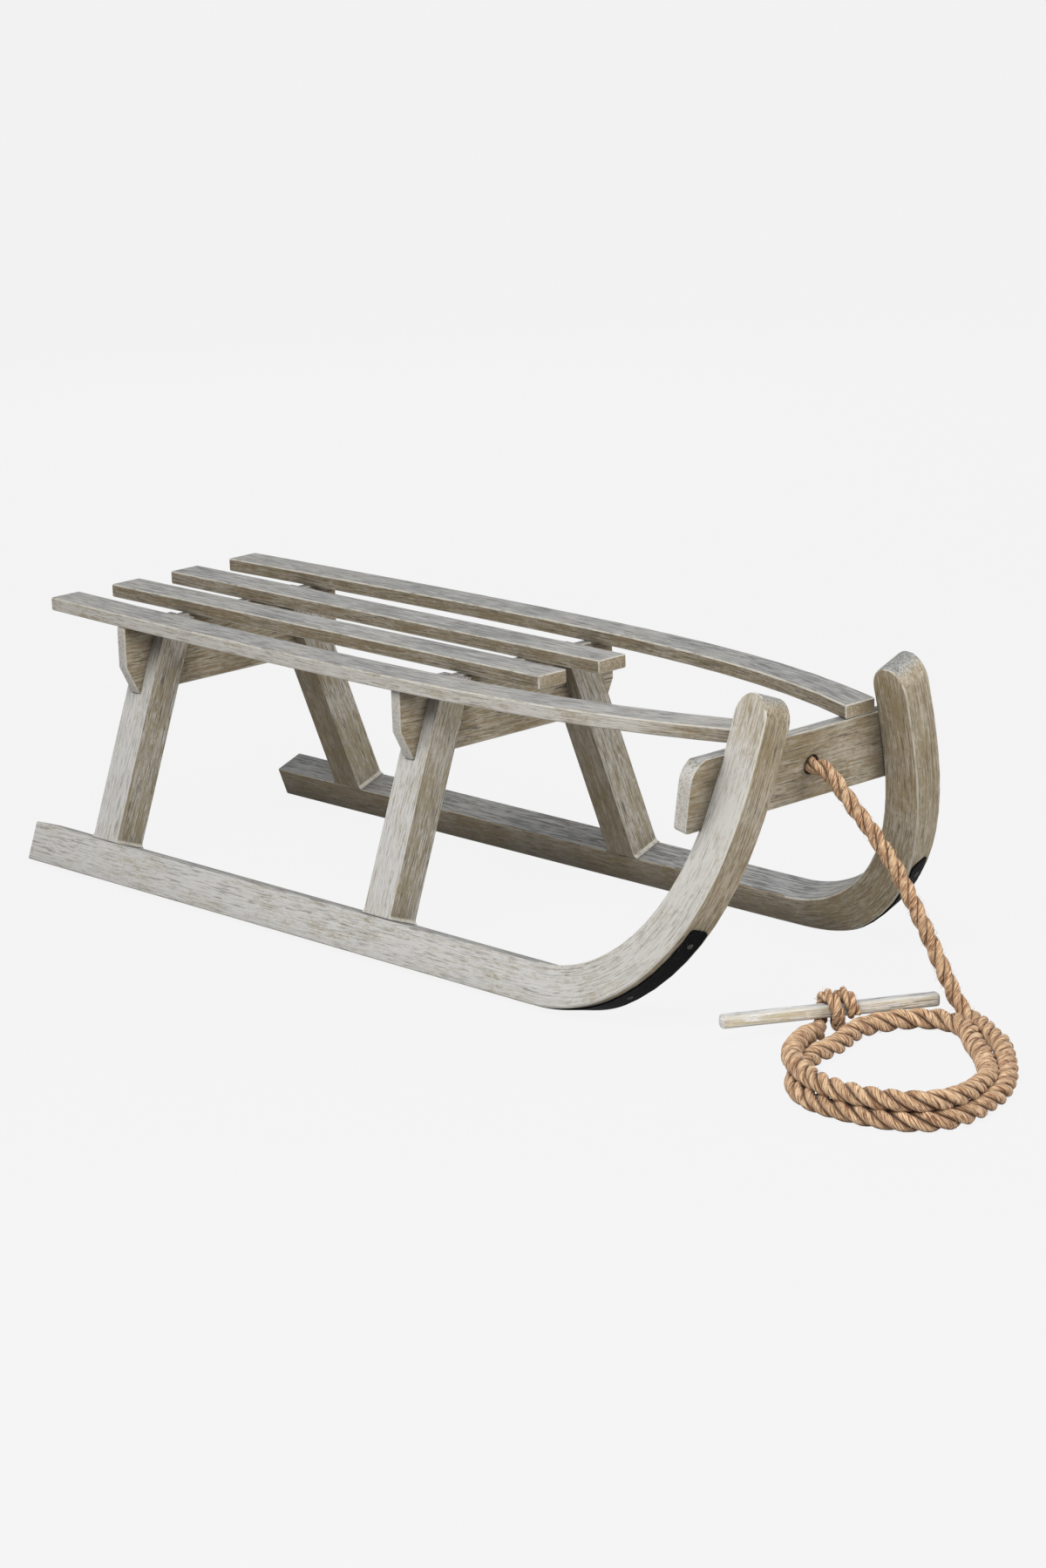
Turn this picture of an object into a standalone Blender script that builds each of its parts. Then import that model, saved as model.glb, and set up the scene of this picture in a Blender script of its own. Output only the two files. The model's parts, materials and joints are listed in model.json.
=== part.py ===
"""A slatted wooden sled of the old Alpine kind, with steel-shod bent runners and a pull rope.

The sled stands on z = 0 and drives towards +X. Its right side is at -Y. Lengths along the sled
are first counted from the slats' rear ends, and then moved so that the box of the sled without
its rope is centred on the origin.
"""
import math

import bmesh
import bpy
from mathutils import Matrix, Vector

# Sizes of the real sled, in metres
CLEARANCE = 0.0003
EDGE_EASE = 0.001

SEAT_HEIGHT = 0.2212
SLAT_WIDTH = 0.030
SLAT_THICKNESS = 0.011
INNER_SLAT_LENGTH = 0.525
INNER_SLAT_CENTRE = 0.0322
OUTER_SLAT_BOW = 0.1063
OUTER_SLAT_BOW_PLACE = 0.328
OUTER_SLAT_REAR_DRAW = 0.0093
OUTER_SLAT_FRONT_DRAW = 0.0573

CANT_DEGREES = 20.5
RUNNER_OUTER_EDGE = 0.1576
RUNNER_WIDTH = 0.0274
RUNNER_DEPTH = 0.0325
RUNNER_REAR = 0.006
BEND_START = 0.620
BEND_LENGTH = 0.365
HORN_DEGREES = 86.5
HORN_HEIGHT = 0.267
HORN_ROUND = 0.020
HORN_SPREAD = 0.07
SOLE_CANT_DEGREES = 7.5
SOLE_FADE = 0.08

SHOE_WIDTH = 0.0176
SHOE_OUTER_MARGIN = 0.0062
SHOE_THICKNESS = 0.0012
SHOE_TOP = 0.0875

REAR_LEG = 0.0839
FRONT_LEG = 0.4223
LEG_DEPTH = 0.0308
LEG_FILLET = 0.004
TENON_LENGTH = 0.014
TENON_WIDTH = 0.013
TENON_SHOULDER = 0.006
TENON_OVERLAP = 0.002

TRESTLE_BOARD_THICKNESS = 0.010
TRESTLE_BOARD_DEPTH = 0.058
TRESTLE_BOARD_HALF = 0.1155
TRESTLE_BOARD_FOOT = 0.1036
TRESTLE_BOARD_DROP = 0.034
TRESTLE_BOARD_SETBACK = 0.0027

FRONT_BOARD_FACE = 0.7700
FRONT_BOARD_LEAN = 10.0
FRONT_BOARD_HEIGHT = 0.0565
FRONT_BOARD_HALF = 0.1287
FRONT_BOARD_THICKNESS = 0.0125
FRONT_BOARD_CORNER = 0.019
ROPE_HOLE_DIAMETER = 0.016

DOWEL_DIAMETER = 0.006
DOWEL_IN_SLAT = 0.0065
DOWEL_LENGTH = 0.024
HORN_DOWEL_DIAMETER = 0.008
HORN_DOWEL_LENGTH = 0.024
HORN_DOWEL_IN_BOARD = 0.008

# The pull rope. Its free part drops from the front board to the ground, where it lies in two turns,
# the second partly on top of the first, and ends in a hitch round a wooden toggle.
ROPE_DIAMETER = 0.013
LEAD_ROUTE = (
    (0.7776, 0.0006, 0.1806), (0.7855, 0.0026, 0.1735), (0.7945, 0.0050, 0.1622), (0.8050, 0.0075, 0.1495),
    (0.8158, 0.0098, 0.1375), (0.8262, 0.0120, 0.1240), (0.8362, 0.0142, 0.1098), (0.8447, 0.0160, 0.0950),
    (0.8528, 0.0178, 0.0800), (0.8610, 0.0197, 0.0640), (0.8690, 0.0216, 0.0475), (0.8765, 0.0238, 0.0315),
    (0.8830, 0.0258, 0.0180), (0.8922, 0.0268, 0.0088), (0.9045, 0.0230, 0.0068))
LEAD_LANDING = (0.9150, 0.0165)
COIL_CENTRE = (0.928, -0.088)
COIL_FIRST_ANGLE = 83.0
COIL_STEP_ANGLE = 30.0
COIL_REACH = (0.0895, 0.0768, 0.0802, 0.0991, 0.1239, 0.1070, 0.0914, 0.0709, 0.0640, 0.0650, 0.0935,
              0.1038, 0.0707, 0.0612, 0.0645, 0.0840, 0.1200, 0.1052, 0.0827, 0.0758, 0.0755, 0.0904)
COIL_LIFT = (0, 0, 0, 0, 0, 0, 0, 0, 0, 0, 0, 0, 0, 0, 0.2, 0.65, 1, 1, 1, 0.95, 0.65, 0.12)
COIL_POINTS_A_TURN = 24
COIL_RISE = 0.0142
COIL_HEIGHT = 0.0066

TOGGLE_MIDDLE = (0.8239, -0.0472, 0.0160)
TOGGLE_HEADING = 59.9
TOGGLE_LENGTH = 0.167
TOGGLE_SIZE = 0.010
TOGGLE_ROUND = 0.0025
HITCH_START = -0.0085
HITCH_PITCH = 0.0119
HITCH_ROPE_DIAMETER = 0.0105
KNOT_DIAMETER = 0.028
KNOT_LENGTH = 0.022

# Sizes that follow from these
CANT = math.radians(CANT_DEGREES)
SOLE_SLANT = math.tan(CANT - math.radians(SOLE_CANT_DEGREES))
SHOE_INNER_EDGE = SHOE_OUTER_MARGIN + SHOE_WIDTH
SHOE_DROP = (SHOE_THICKNESS + CLEARANCE) * math.hypot(1.0, SOLE_SLANT)
SOLE_HEIGHT = SHOE_INNER_EDGE * math.sin(CANT) - (SHOE_INNER_EDGE * SOLE_SLANT - SHOE_DROP) * math.cos(CANT)
SLAT_UNDERSIDE = SEAT_HEIGHT - SLAT_THICKNESS
SIDES = (("right", -1), ("left", 1))

for old in list(bpy.data.objects):
    bpy.data.objects.remove(old, do_unlink=True)
for group in list(bpy.data.collections):
    bpy.data.collections.remove(group)

parts = bpy.data.collections.new("wooden_sled")
cutters = bpy.data.collections.new("cutters")
bpy.context.scene.collection.children.link(parts)
bpy.context.scene.collection.children.link(cutters)


def make_material(name, colour, roughness, metallic=0.0):
    material = bpy.data.materials.new(name)
    material.use_nodes = True
    shader = material.node_tree.nodes["Principled BSDF"]
    shader.inputs["Base Color"].default_value = (*colour, 1.0)
    shader.inputs["Roughness"].default_value = roughness
    shader.inputs["Metallic"].default_value = metallic
    return material


LIMED_WOOD = make_material("limed_wood", (0.46, 0.43, 0.37), 0.75)
PALE_WOOD = make_material("pale_wood", (0.55, 0.43, 0.28), 0.8)
BLACK_STEEL = make_material("black_steel", (0.012, 0.012, 0.013), 0.45, 0.9)
MANILA = make_material("manila", (0.50, 0.29, 0.13), 0.9)


def keep(mesh, name, material):
    """Puts a finished mesh among the parts, under its own name."""
    part = bpy.data.objects.new(name, mesh)
    mesh.materials.clear()
    mesh.materials.append(material)
    parts.objects.link(part)
    return part


def keep_as_cutter(mesh, name):
    cutter = bpy.data.objects.new(name, mesh)
    cutter.hide_render = True
    cutter.display_type = "WIRE"
    cutters.objects.link(cutter)
    return cutter


def ease_edges(part, width=EDGE_EASE, segments=1):
    bevel = part.modifiers.new("eased_edges", "BEVEL")
    bevel.width = width
    bevel.segments = segments
    bevel.limit_method = "ANGLE"
    bevel.angle_limit = math.radians(35)


def cut(part, cutter, operation="DIFFERENCE"):
    boolean = part.modifiers.new(cutter.name, "BOOLEAN")
    boolean.operation = operation
    boolean.solver = "EXACT"
    boolean.object = cutter


def new_mesh(bm, name):
    bmesh.ops.recalc_face_normals(bm, faces=bm.faces)
    mesh = bpy.data.meshes.new(name)
    bm.to_mesh(mesh)
    bm.free()
    return mesh


def box_mesh(name, size, placement):
    """A box of the given size, centred on the placement matrix."""
    bm = bmesh.new()
    bmesh.ops.create_cube(bm, size=1.0, matrix=placement @ Matrix.Diagonal((*size, 1.0)))
    return new_mesh(bm, name)


def rod_mesh(name, diameter, length, placement, sides=12):
    """A cylinder along the placement's own Z, centred on it."""
    bm = bmesh.new()
    bmesh.ops.create_cone(bm, cap_ends=True, segments=sides, radius1=diameter / 2, radius2=diameter / 2,
                          depth=length, matrix=placement)
    return new_mesh(bm, name)


def outline_mesh(name, points, thickness, placement):
    """A flat outline in the placement's own XY plane, as thick along its Z, centred on it."""
    curve = bpy.data.curves.new(name, "CURVE")
    curve.dimensions = "2D"
    curve.fill_mode = "BOTH"
    curve.extrude = thickness / 2
    spline = curve.splines.new("POLY")
    spline.points.add(len(points) - 1)
    for point, (u, v) in zip(spline.points, points):
        point.co = (u, v, 0.0, 1.0)
    spline.use_cyclic_u = True
    holder = bpy.data.objects.new(name + "_outline", curve)
    cutters.objects.link(holder)
    seen = holder.evaluated_get(bpy.context.evaluated_depsgraph_get())
    flat = bpy.data.meshes.new_from_object(seen)
    bpy.data.objects.remove(holder)
    bm = bmesh.new()
    bm.from_mesh(flat)
    bpy.data.meshes.remove(flat)
    bmesh.ops.remove_doubles(bm, verts=bm.verts, dist=0.00001)
    bmesh.ops.dissolve_limit(bm, angle_limit=0.0005, verts=bm.verts, edges=bm.edges)
    bmesh.ops.transform(bm, matrix=placement, verts=bm.verts)
    return new_mesh(bm, name)


def plane_level(mesh, height):
    """Planes a closed mesh off level at a height, as a joiner trims a piece under the slats."""
    bm = bmesh.new()
    bm.from_mesh(mesh)
    everything = bm.verts[:] + bm.edges[:] + bm.faces[:]
    bmesh.ops.bisect_plane(bm, geom=everything, plane_co=(0, 0, height), plane_no=(0, 0, 1), clear_outer=True)
    bmesh.ops.holes_fill(bm, edges=[edge for edge in bm.edges if edge.is_boundary])
    bmesh.ops.recalc_face_normals(bm, faces=bm.faces)
    bm.to_mesh(mesh)
    bm.free()
    return mesh


def loft_mesh(name, sections):
    """A solid through equal rings of corners, closed at both ends."""
    bm = bmesh.new()
    rings = [[bm.verts.new(corner) for corner in section] for section in sections]
    for near, far in zip(rings, rings[1:]):
        for i in range(len(near)):
            j = (i + 1) % len(near)
            bm.faces.new((near[i], near[j], far[j], far[i]))
    bm.faces.new(rings[0])
    bm.faces.new(reversed(rings[-1]))
    return new_mesh(bm, name)


def smoothstep(value):
    value = min(max(value, 0.0), 1.0)
    return value * value * (3.0 - 2.0 * value)


# The bent runner, drawn in its own canted plane: x along the sled, t up the plane
BEND_STEPS = 480
CLOSE_STEPS = 6
OPEN_STEPS = 24


def underside_path():
    """Stations (x, t, slope, arc) of the runner's underside, which turns up as a quarter sine."""
    stations = [(RUNNER_REAR, 0.0, 0.0, 0.0), ((RUNNER_REAR + BEND_START) / 2, 0.0, 0.0, 0.0)]
    x, t, slope = BEND_START, 0.0, 0.0
    step = BEND_LENGTH / BEND_STEPS
    for i in range(BEND_STEPS):
        if i % (CLOSE_STEPS if i * step < SOLE_FADE else OPEN_STEPS) == 0:
            stations.append((x, t, slope, i * step))
        after = math.radians(HORN_DEGREES) * math.sin(math.pi / 2 * (i + 1) / BEND_STEPS)
        middle = (slope + after) / 2
        x += math.cos(middle) * step
        t += math.sin(middle) * step
        slope = after
        if t > HORN_HEIGHT - HORN_ROUND:
            break
    stations.append((x, t, slope, (i + 1) * step))
    return stations


UNDERSIDE = underside_path()
HALF_LENGTH = max(x for x, t, slope, arc in UNDERSIDE) / 2


def canted(x, t, inner, side):
    """A point of a canted side plane, in the sled's frame; inner counts from the outer face."""
    spread = HORN_SPREAD * t * smoothstep((x - BEND_START) / 0.1)
    y = RUNNER_OUTER_EDGE + spread - t * math.sin(CANT) - inner * math.cos(CANT)
    z = SOLE_HEIGHT + t * math.cos(CANT) - inner * math.sin(CANT)
    return Vector((x - HALF_LENGTH, side * y, z))


def sole_slant(arc):
    """Slope of the planed sole across the runner, fading to square along the start of the bend."""
    return SOLE_SLANT * (1.0 - smoothstep(arc / SOLE_FADE))


def runner_sections(side):
    sections = []
    for x, t, slope, arc in UNDERSIDE:
        up_x, up_t = -math.sin(slope), math.cos(slope)
        corners = []
        for inner, rise in ((0.0, 0.0), (RUNNER_WIDTH, RUNNER_WIDTH * sole_slant(arc)),
                            (RUNNER_WIDTH, RUNNER_DEPTH), (0.0, RUNNER_DEPTH)):
            corners.append(canted(x + rise * up_x, t + rise * up_t, inner, side))
        sections.append(corners)
    x, t, slope, arc = UNDERSIDE[-1]
    up_x, up_t = -math.sin(slope), math.cos(slope)
    for i in range(1, 7):
        turn = math.radians(14 * i)
        forward = HORN_ROUND * math.sin(turn)
        shrink = RUNNER_DEPTH / 2 * (1.0 - math.cos(turn))
        corners = []
        for inner, rise in ((0.0, shrink), (RUNNER_WIDTH, shrink),
                            (RUNNER_WIDTH, RUNNER_DEPTH - shrink), (0.0, RUNNER_DEPTH - shrink)):
            corners.append(canted(x + forward * math.cos(slope) + rise * up_x,
                                  t + forward * math.sin(slope) + rise * up_t, inner, side))
        sections.append(corners)
    return sections


def shoe_sections(side):
    """The steel strip: under the sole, round the bend and up the horn's front to its end."""
    stations = [station for station in UNDERSIDE if station[1] < SHOE_TOP]
    below, above = stations[-1], UNDERSIDE[len(stations)]
    share = (SHOE_TOP - below[1]) / (above[1] - below[1])
    stations.append(tuple(low + share * (high - low) for low, high in zip(below, above)))
    sections = []
    for x, t, slope, arc in stations:
        up_x, up_t = -math.sin(slope), math.cos(slope)
        slant = sole_slant(arc)
        corners = []
        for inner, thickness in ((SHOE_OUTER_MARGIN, SHOE_THICKNESS), (SHOE_INNER_EDGE, SHOE_THICKNESS),
                                 (SHOE_INNER_EDGE, 0.0), (SHOE_OUTER_MARGIN, 0.0)):
            rise = inner * slant - (CLEARANCE + thickness) * math.hypot(1.0, slant)
            corners.append(canted(x + rise * up_x, t + rise * up_t, inner, side))
        sections.append(corners)
    return sections


def side_box(name, x, t, inner, size, side):
    """A box set in a canted side plane; size is along x, across the plane's width and up it."""
    middle = canted(x, t, inner, side)
    middle.y -= side * HORN_SPREAD * t * smoothstep((x - BEND_START) / 0.1)
    placement = Matrix.Translation(middle) @ Matrix.Rotation(side * CANT, 4, "X")
    return box_mesh(name, size, placement)


def leg_x(leg):
    """The x range of a pair of legs, from the slats' rear ends."""
    start = {"rear": REAR_LEG, "front": FRONT_LEG}[leg]
    return start, start + LEG_DEPTH


def board_x(leg):
    """The middle of the trestle board that a pair of legs forks round."""
    start, end = leg_x(leg)
    return (start + end) / 2 - TRESTLE_BOARD_SETBACK


def quarter(centre_u, centre_v, radius, start, steps=4):
    """Points of a quarter circle, turning left from the start angle in degrees."""
    turns = [math.radians(start + 90.0 * i / steps) for i in range(steps + 1)]
    return [(centre_u + radius * math.cos(a), centre_v + radius * math.sin(a)) for a in turns]


def make_leg(leg, side_name, side):
    """A canted leg: flared foot, tenon into the runner, level top, and a fork for the board."""
    start, end = leg_x(leg)
    foot = RUNNER_DEPTH + CLEARANCE
    top = (SLAT_UNDERSIDE - SOLE_HEIGHT + RUNNER_WIDTH * math.sin(CANT)) / math.cos(CANT) + 0.004
    r = LEG_FILLET
    outline = quarter(end + r, foot + r, r, 180)[::-1] + [(end, top), (start, top)]
    outline += quarter(start - r, foot + r, r, 270)[::-1]
    middle = canted(0.0, 0.0, RUNNER_WIDTH / 2, side)
    middle.x = -HALF_LENGTH
    upright = Matrix.Rotation(side * CANT, 4, "X") @ Matrix.Rotation(math.pi / 2, 4, "X")
    name = "leg_" + leg + "_" + side_name
    mesh = outline_mesh(name, outline, RUNNER_WIDTH, Matrix.Translation(middle) @ upright)
    part = keep(plane_level(mesh, SLAT_UNDERSIDE - CLEARANCE), name, LIMED_WOOD)
    ease_edges(part)
    centre = (start + end) / 2
    size = (LEG_DEPTH - 2 * TENON_SHOULDER, TENON_WIDTH, TENON_LENGTH + 2 * TENON_OVERLAP)
    tenon_mesh = side_box(name + "_tenon", centre, foot - TENON_LENGTH / 2 + TENON_OVERLAP,
                          RUNNER_WIDTH / 2, size, side)
    cut(part, keep_as_cutter(tenon_mesh, name + "_tenon"), "UNION")
    board_bottom = SLAT_UNDERSIDE - CLEARANCE - TRESTLE_BOARD_DEPTH
    slot_height = 0.1
    slot = box_mesh(name + "_fork", (TRESTLE_BOARD_THICKNESS + 2 * CLEARANCE, 0.4, slot_height),
                    Matrix.Translation((board_x(leg) - HALF_LENGTH, 0.0,
                                        board_bottom - CLEARANCE + slot_height / 2)))
    cut(part, keep_as_cutter(slot, name + "_fork"))


def make_runner(side_name, side):
    name = "runner_" + side_name
    part = keep(loft_mesh(name, runner_sections(side)), name, LIMED_WOOD)
    ease_edges(part)
    for leg in ("rear", "front"):
        start, end = leg_x(leg)
        size = (LEG_DEPTH - 2 * TENON_SHOULDER + 2 * CLEARANCE, TENON_WIDTH + 2 * CLEARANCE,
                TENON_LENGTH + CLEARANCE + 2 * TENON_OVERLAP)
        mortise = side_box(name + "_mortise_" + leg, (start + end) / 2,
                           RUNNER_DEPTH - (TENON_LENGTH + CLEARANCE) / 2 + TENON_OVERLAP,
                           RUNNER_WIDTH / 2, size, side)
        cut(part, keep_as_cutter(mortise, name + "_mortise_" + leg))
    return part


def make_shoe(side_name, side):
    name = "shoe_" + side_name
    part = keep(loft_mesh(name, shoe_sections(side)), name, BLACK_STEEL)
    part.data.shade_smooth()
    part.data.set_sharp_from_angle(angle=math.radians(40))


def make_trestle_board(leg):
    """An upright board across the sled, whose ends drop straight and then slant in to the legs."""
    top = SLAT_UNDERSIDE - CLEARANCE
    bottom = top - TRESTLE_BOARD_DEPTH
    half = [(TRESTLE_BOARD_HALF, top), (TRESTLE_BOARD_HALF, top - TRESTLE_BOARD_DROP),
            (TRESTLE_BOARD_FOOT, bottom)]
    outline = half[::-1] + [(-y, z) for y, z in half]
    name = "trestle_board_" + leg
    facing = Matrix(((0, 0, 1, 0), (1, 0, 0, 0), (0, 1, 0, 0), (0, 0, 0, 1)))
    placement = Matrix.Translation((board_x(leg) - HALF_LENGTH, 0, 0)) @ facing
    part = keep(outline_mesh(name, outline, TRESTLE_BOARD_THICKNESS, placement), name, LIMED_WOOD)
    ease_edges(part)
    return part


def outer_slat_centre(x):
    """How far an outer slat's middle line lies from the sled's middle, bowed out between its ends."""
    if x < OUTER_SLAT_BOW_PLACE:
        away = (OUTER_SLAT_BOW_PLACE - x) / OUTER_SLAT_BOW_PLACE
        return OUTER_SLAT_BOW - OUTER_SLAT_REAR_DRAW * away ** 1.6
    away = (x - OUTER_SLAT_BOW_PLACE) / (FRONT_BOARD_FACE - OUTER_SLAT_BOW_PLACE)
    return OUTER_SLAT_BOW - OUTER_SLAT_FRONT_DRAW * away ** 3


def make_outer_slat(side_name, side):
    steps = 18
    nudge = 0.001
    edges = {1: [], -1: []}
    for x in [FRONT_BOARD_FACE * i / steps for i in range(steps + 1)]:
        heading = math.atan2(outer_slat_centre(x + nudge) - outer_slat_centre(x - nudge), 2 * nudge)
        for edge in edges:
            edges[edge].append((x, outer_slat_centre(x) + edge * SLAT_WIDTH / 2 / math.cos(heading)))
    outline = [(x - HALF_LENGTH, side * y) for x, y in edges[-1] + edges[1][::-1]]
    name = "slat_outer_" + side_name
    placement = Matrix.Translation((0, 0, SEAT_HEIGHT - SLAT_THICKNESS / 2))
    part = keep(outline_mesh(name, outline, SLAT_THICKNESS, placement), name, LIMED_WOOD)
    ease_edges(part)
    return part


def make_inner_slat(side_name, side):
    name = "slat_inner_" + side_name
    placement = Matrix.Translation((INNER_SLAT_LENGTH / 2 - HALF_LENGTH, side * INNER_SLAT_CENTRE,
                                    SEAT_HEIGHT - SLAT_THICKNESS / 2))
    mesh = box_mesh(name, (INNER_SLAT_LENGTH, SLAT_WIDTH, SLAT_THICKNESS), placement)
    part = keep(mesh, name, LIMED_WOOD)
    ease_edges(part)
    return part


def front_board_frame():
    """The front board's own frame: Y across the sled, Z up the leaning board, origin mid front face."""
    lean = math.radians(FRONT_BOARD_LEAN)
    top = Vector((FRONT_BOARD_FACE - HALF_LENGTH, 0.0, SLAT_UNDERSIDE - CLEARANCE))
    turn = Matrix.Rotation(lean, 4, "Y")
    top_edge_drop = FRONT_BOARD_HEIGHT / 2
    return Matrix.Translation(top) @ turn @ Matrix.Translation((0, 0, -top_edge_drop))


def front_board_outline(grown=0.0):
    half, height, r = FRONT_BOARD_HALF + grown, FRONT_BOARD_HEIGHT / 2 + grown, FRONT_BOARD_CORNER
    rise = 0.0008
    lower = 0.004
    right = quarter(half - lower, -height + lower, lower, 270, 3)
    right += quarter(half - r, height + rise - r, r, 0, 5)
    return right + [(-u, v) for u, v in right[::-1]]


def front_board_mesh(name, grown=0.0):
    facing = Matrix(((0, 0, 1, 0), (1, 0, 0, 0), (0, 1, 0, 0), (0, 0, 0, 1)))
    thickness = FRONT_BOARD_THICKNESS + 2 * grown
    middle = Matrix.Translation((-FRONT_BOARD_THICKNESS / 2, 0, 0))
    mesh = outline_mesh(name, front_board_outline(grown), thickness, front_board_frame() @ middle @ facing)
    return plane_level(mesh, SLAT_UNDERSIDE - CLEARANCE + grown)


runners = {}
for side_name, side in SIDES:
    runner = make_runner(side_name, side)
    runners[side_name] = runner
    cut(runner, keep_as_cutter(front_board_mesh("front_board_seat_" + side_name, CLEARANCE),
                               "front_board_seat_" + side_name))
    make_shoe(side_name, side)
    for leg in ("rear", "front"):
        make_leg(leg, side_name, side)

front_board = keep(front_board_mesh("front_board"), "front_board", LIMED_WOOD)
ease_edges(front_board)
hole_axis = front_board_frame() @ Matrix.Rotation(math.pi / 2, 4, "Y")
cut(front_board, keep_as_cutter(rod_mesh("rope_hole", ROPE_HOLE_DIAMETER, 0.06, hole_axis, 20), "rope_hole"))

slats = {}
for side_name, side in SIDES:
    slats["outer", side_name] = make_outer_slat(side_name, side)
    slats["inner", side_name] = make_inner_slat(side_name, side)
trestle_boards = {leg: make_trestle_board(leg) for leg in ("rear", "front")}


def pin(name, placement, diameter, length, pinned):
    """A hidden wooden dowel, and the blind holes that it sits in."""
    keep(rod_mesh(name, diameter, length, placement), name, PALE_WOOD)
    bore = rod_mesh(name + "_bore", diameter + 2 * CLEARANCE, length + 2 * CLEARANCE, placement)
    bore_cutter = keep_as_cutter(bore, name + "_bore")
    for part in pinned:
        cut(part, bore_cutter)


def slat_dowel(name, x, y, slat, board):
    middle = SLAT_UNDERSIDE + DOWEL_IN_SLAT - DOWEL_LENGTH / 2
    placement = Matrix.Translation((x - HALF_LENGTH, y, middle))
    pin(name, placement, DOWEL_DIAMETER, DOWEL_LENGTH, (slat, board))


for leg in ("rear", "front"):
    for side_name, side in SIDES:
        for row, y in (("outer", outer_slat_centre(board_x(leg))), ("inner", INNER_SLAT_CENTRE)):
            slat_dowel("dowel_" + leg + "_" + row + "_" + side_name, board_x(leg), side * y,
                       slats[row, side_name], trestle_boards[leg])

for side_name, side in SIDES:
    x = FRONT_BOARD_FACE - FRONT_BOARD_THICKNESS / 2 - 0.002
    slat_dowel("dowel_nose_" + side_name, x, side * (outer_slat_centre(x) - 0.002),
               slats["outer", side_name], front_board)


def horn_dowel_place(side):
    """A blind dowel's place, square through the front board into the middle of a horn."""
    frame = front_board_frame()
    t = (frame.translation.z - SOLE_HEIGHT + RUNNER_WIDTH / 2 * math.sin(CANT)) / math.cos(CANT)
    across = canted(BEND_START + BEND_LENGTH, t, RUNNER_WIDTH / 2, side).y
    forward = HORN_DOWEL_LENGTH / 2 - HORN_DOWEL_IN_BOARD
    return frame @ Matrix.Translation((forward, across, 0)) @ Matrix.Rotation(math.pi / 2, 4, "Y")


for side_name, side in SIDES:
    pin("dowel_horn_" + side_name, horn_dowel_place(side), HORN_DOWEL_DIAMETER, HORN_DOWEL_LENGTH,
        (runners[side_name], front_board))


def smooth_value(values, place):
    """A value read from a smooth curve through values that stand one step apart."""
    i = min(int(place), len(values) - 2)
    t = place - i
    before = values[i - 1] if i > 0 else values[i] * 2 - values[i + 1]
    after = values[i + 2] if i + 2 < len(values) else values[i + 1] * 2 - values[i]
    start, end = values[i], values[i + 1]
    bend = start * 2 + (end - before) * t
    bend += (before * 2 - start * 5 + end * 4 - after) * t ** 2
    bend += (start * 3 - before - end * 3 + after) * t ** 3
    return bend / 2


def evenly(line, count):
    """The same line with its points an equal way apart."""
    ways = [0.0]
    for near, far in zip(line, line[1:]):
        ways.append(ways[-1] + (far - near).length)
    points, j = [], 0
    for i in range(count + 1):
        way = ways[-1] * i / count
        while j < len(line) - 2 and ways[j + 1] < way:
            j += 1
        share = (way - ways[j]) / (ways[j + 1] - ways[j])
        points.append(line[j].lerp(line[j + 1], min(share, 1.0)))
    return points


def from_rear(x, y, z):
    return Vector((x - HALF_LENGTH, y, z))


def coil_point(step):
    """A point of the coil's middle line; steps are twelfths of a turn, clockwise seen from above."""
    turn = math.radians(COIL_FIRST_ANGLE - COIL_STEP_ANGLE * step)
    reach = smooth_value(COIL_REACH, step)
    lift = COIL_RISE * smooth_value(COIL_LIFT, step)
    return from_rear(COIL_CENTRE[0] + reach * math.cos(turn), COIL_CENTRE[1] + reach * math.sin(turn),
                     COIL_HEIGHT + max(lift, 0.0))


def toggle_frame():
    """The toggle's own frame: X along it, Y out of its front towards the coil, Z up."""
    along = Vector((math.cos(math.radians(TOGGLE_HEADING)), math.sin(math.radians(TOGGLE_HEADING)), 0))
    front = Vector((along.y, -along.x, 0))
    up = Vector((0, 0, 1))
    middle = from_rear(*TOGGLE_MIDDLE)
    return Matrix.Translation(middle) @ Matrix((along, front, up)).transposed().to_4x4()


def hitch_lap(s):
    """Front and up position of the hitch's rope, s metres on from the toggle's lower front corner."""
    half = TOGGLE_SIZE / 2 - TOGGLE_ROUND
    reach = TOGGLE_ROUND + CLEARANCE + HITCH_ROPE_DIAMETER / 2
    s %= 8 * half + 2 * math.pi * reach
    corners = ((-half, -half, -90), (-half, half, 180), (half, half, 90), (half, -half, 0))
    for front, up, start in corners:
        corner = Vector((front, up))
        angle = math.radians(start)
        turned = Vector((math.cos(angle), math.sin(angle)))
        ahead = Vector((math.sin(angle), -math.cos(angle)))
        if s <= 2 * half:
            return corner + turned * reach - ahead * (2 * half - s)
        s -= 2 * half
        if s <= math.pi / 2 * reach:
            angle -= s / reach
            return corner + Vector((math.cos(angle), math.sin(angle))) * reach
        s -= math.pi / 2 * reach
    return Vector((half, -half - reach))


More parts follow.
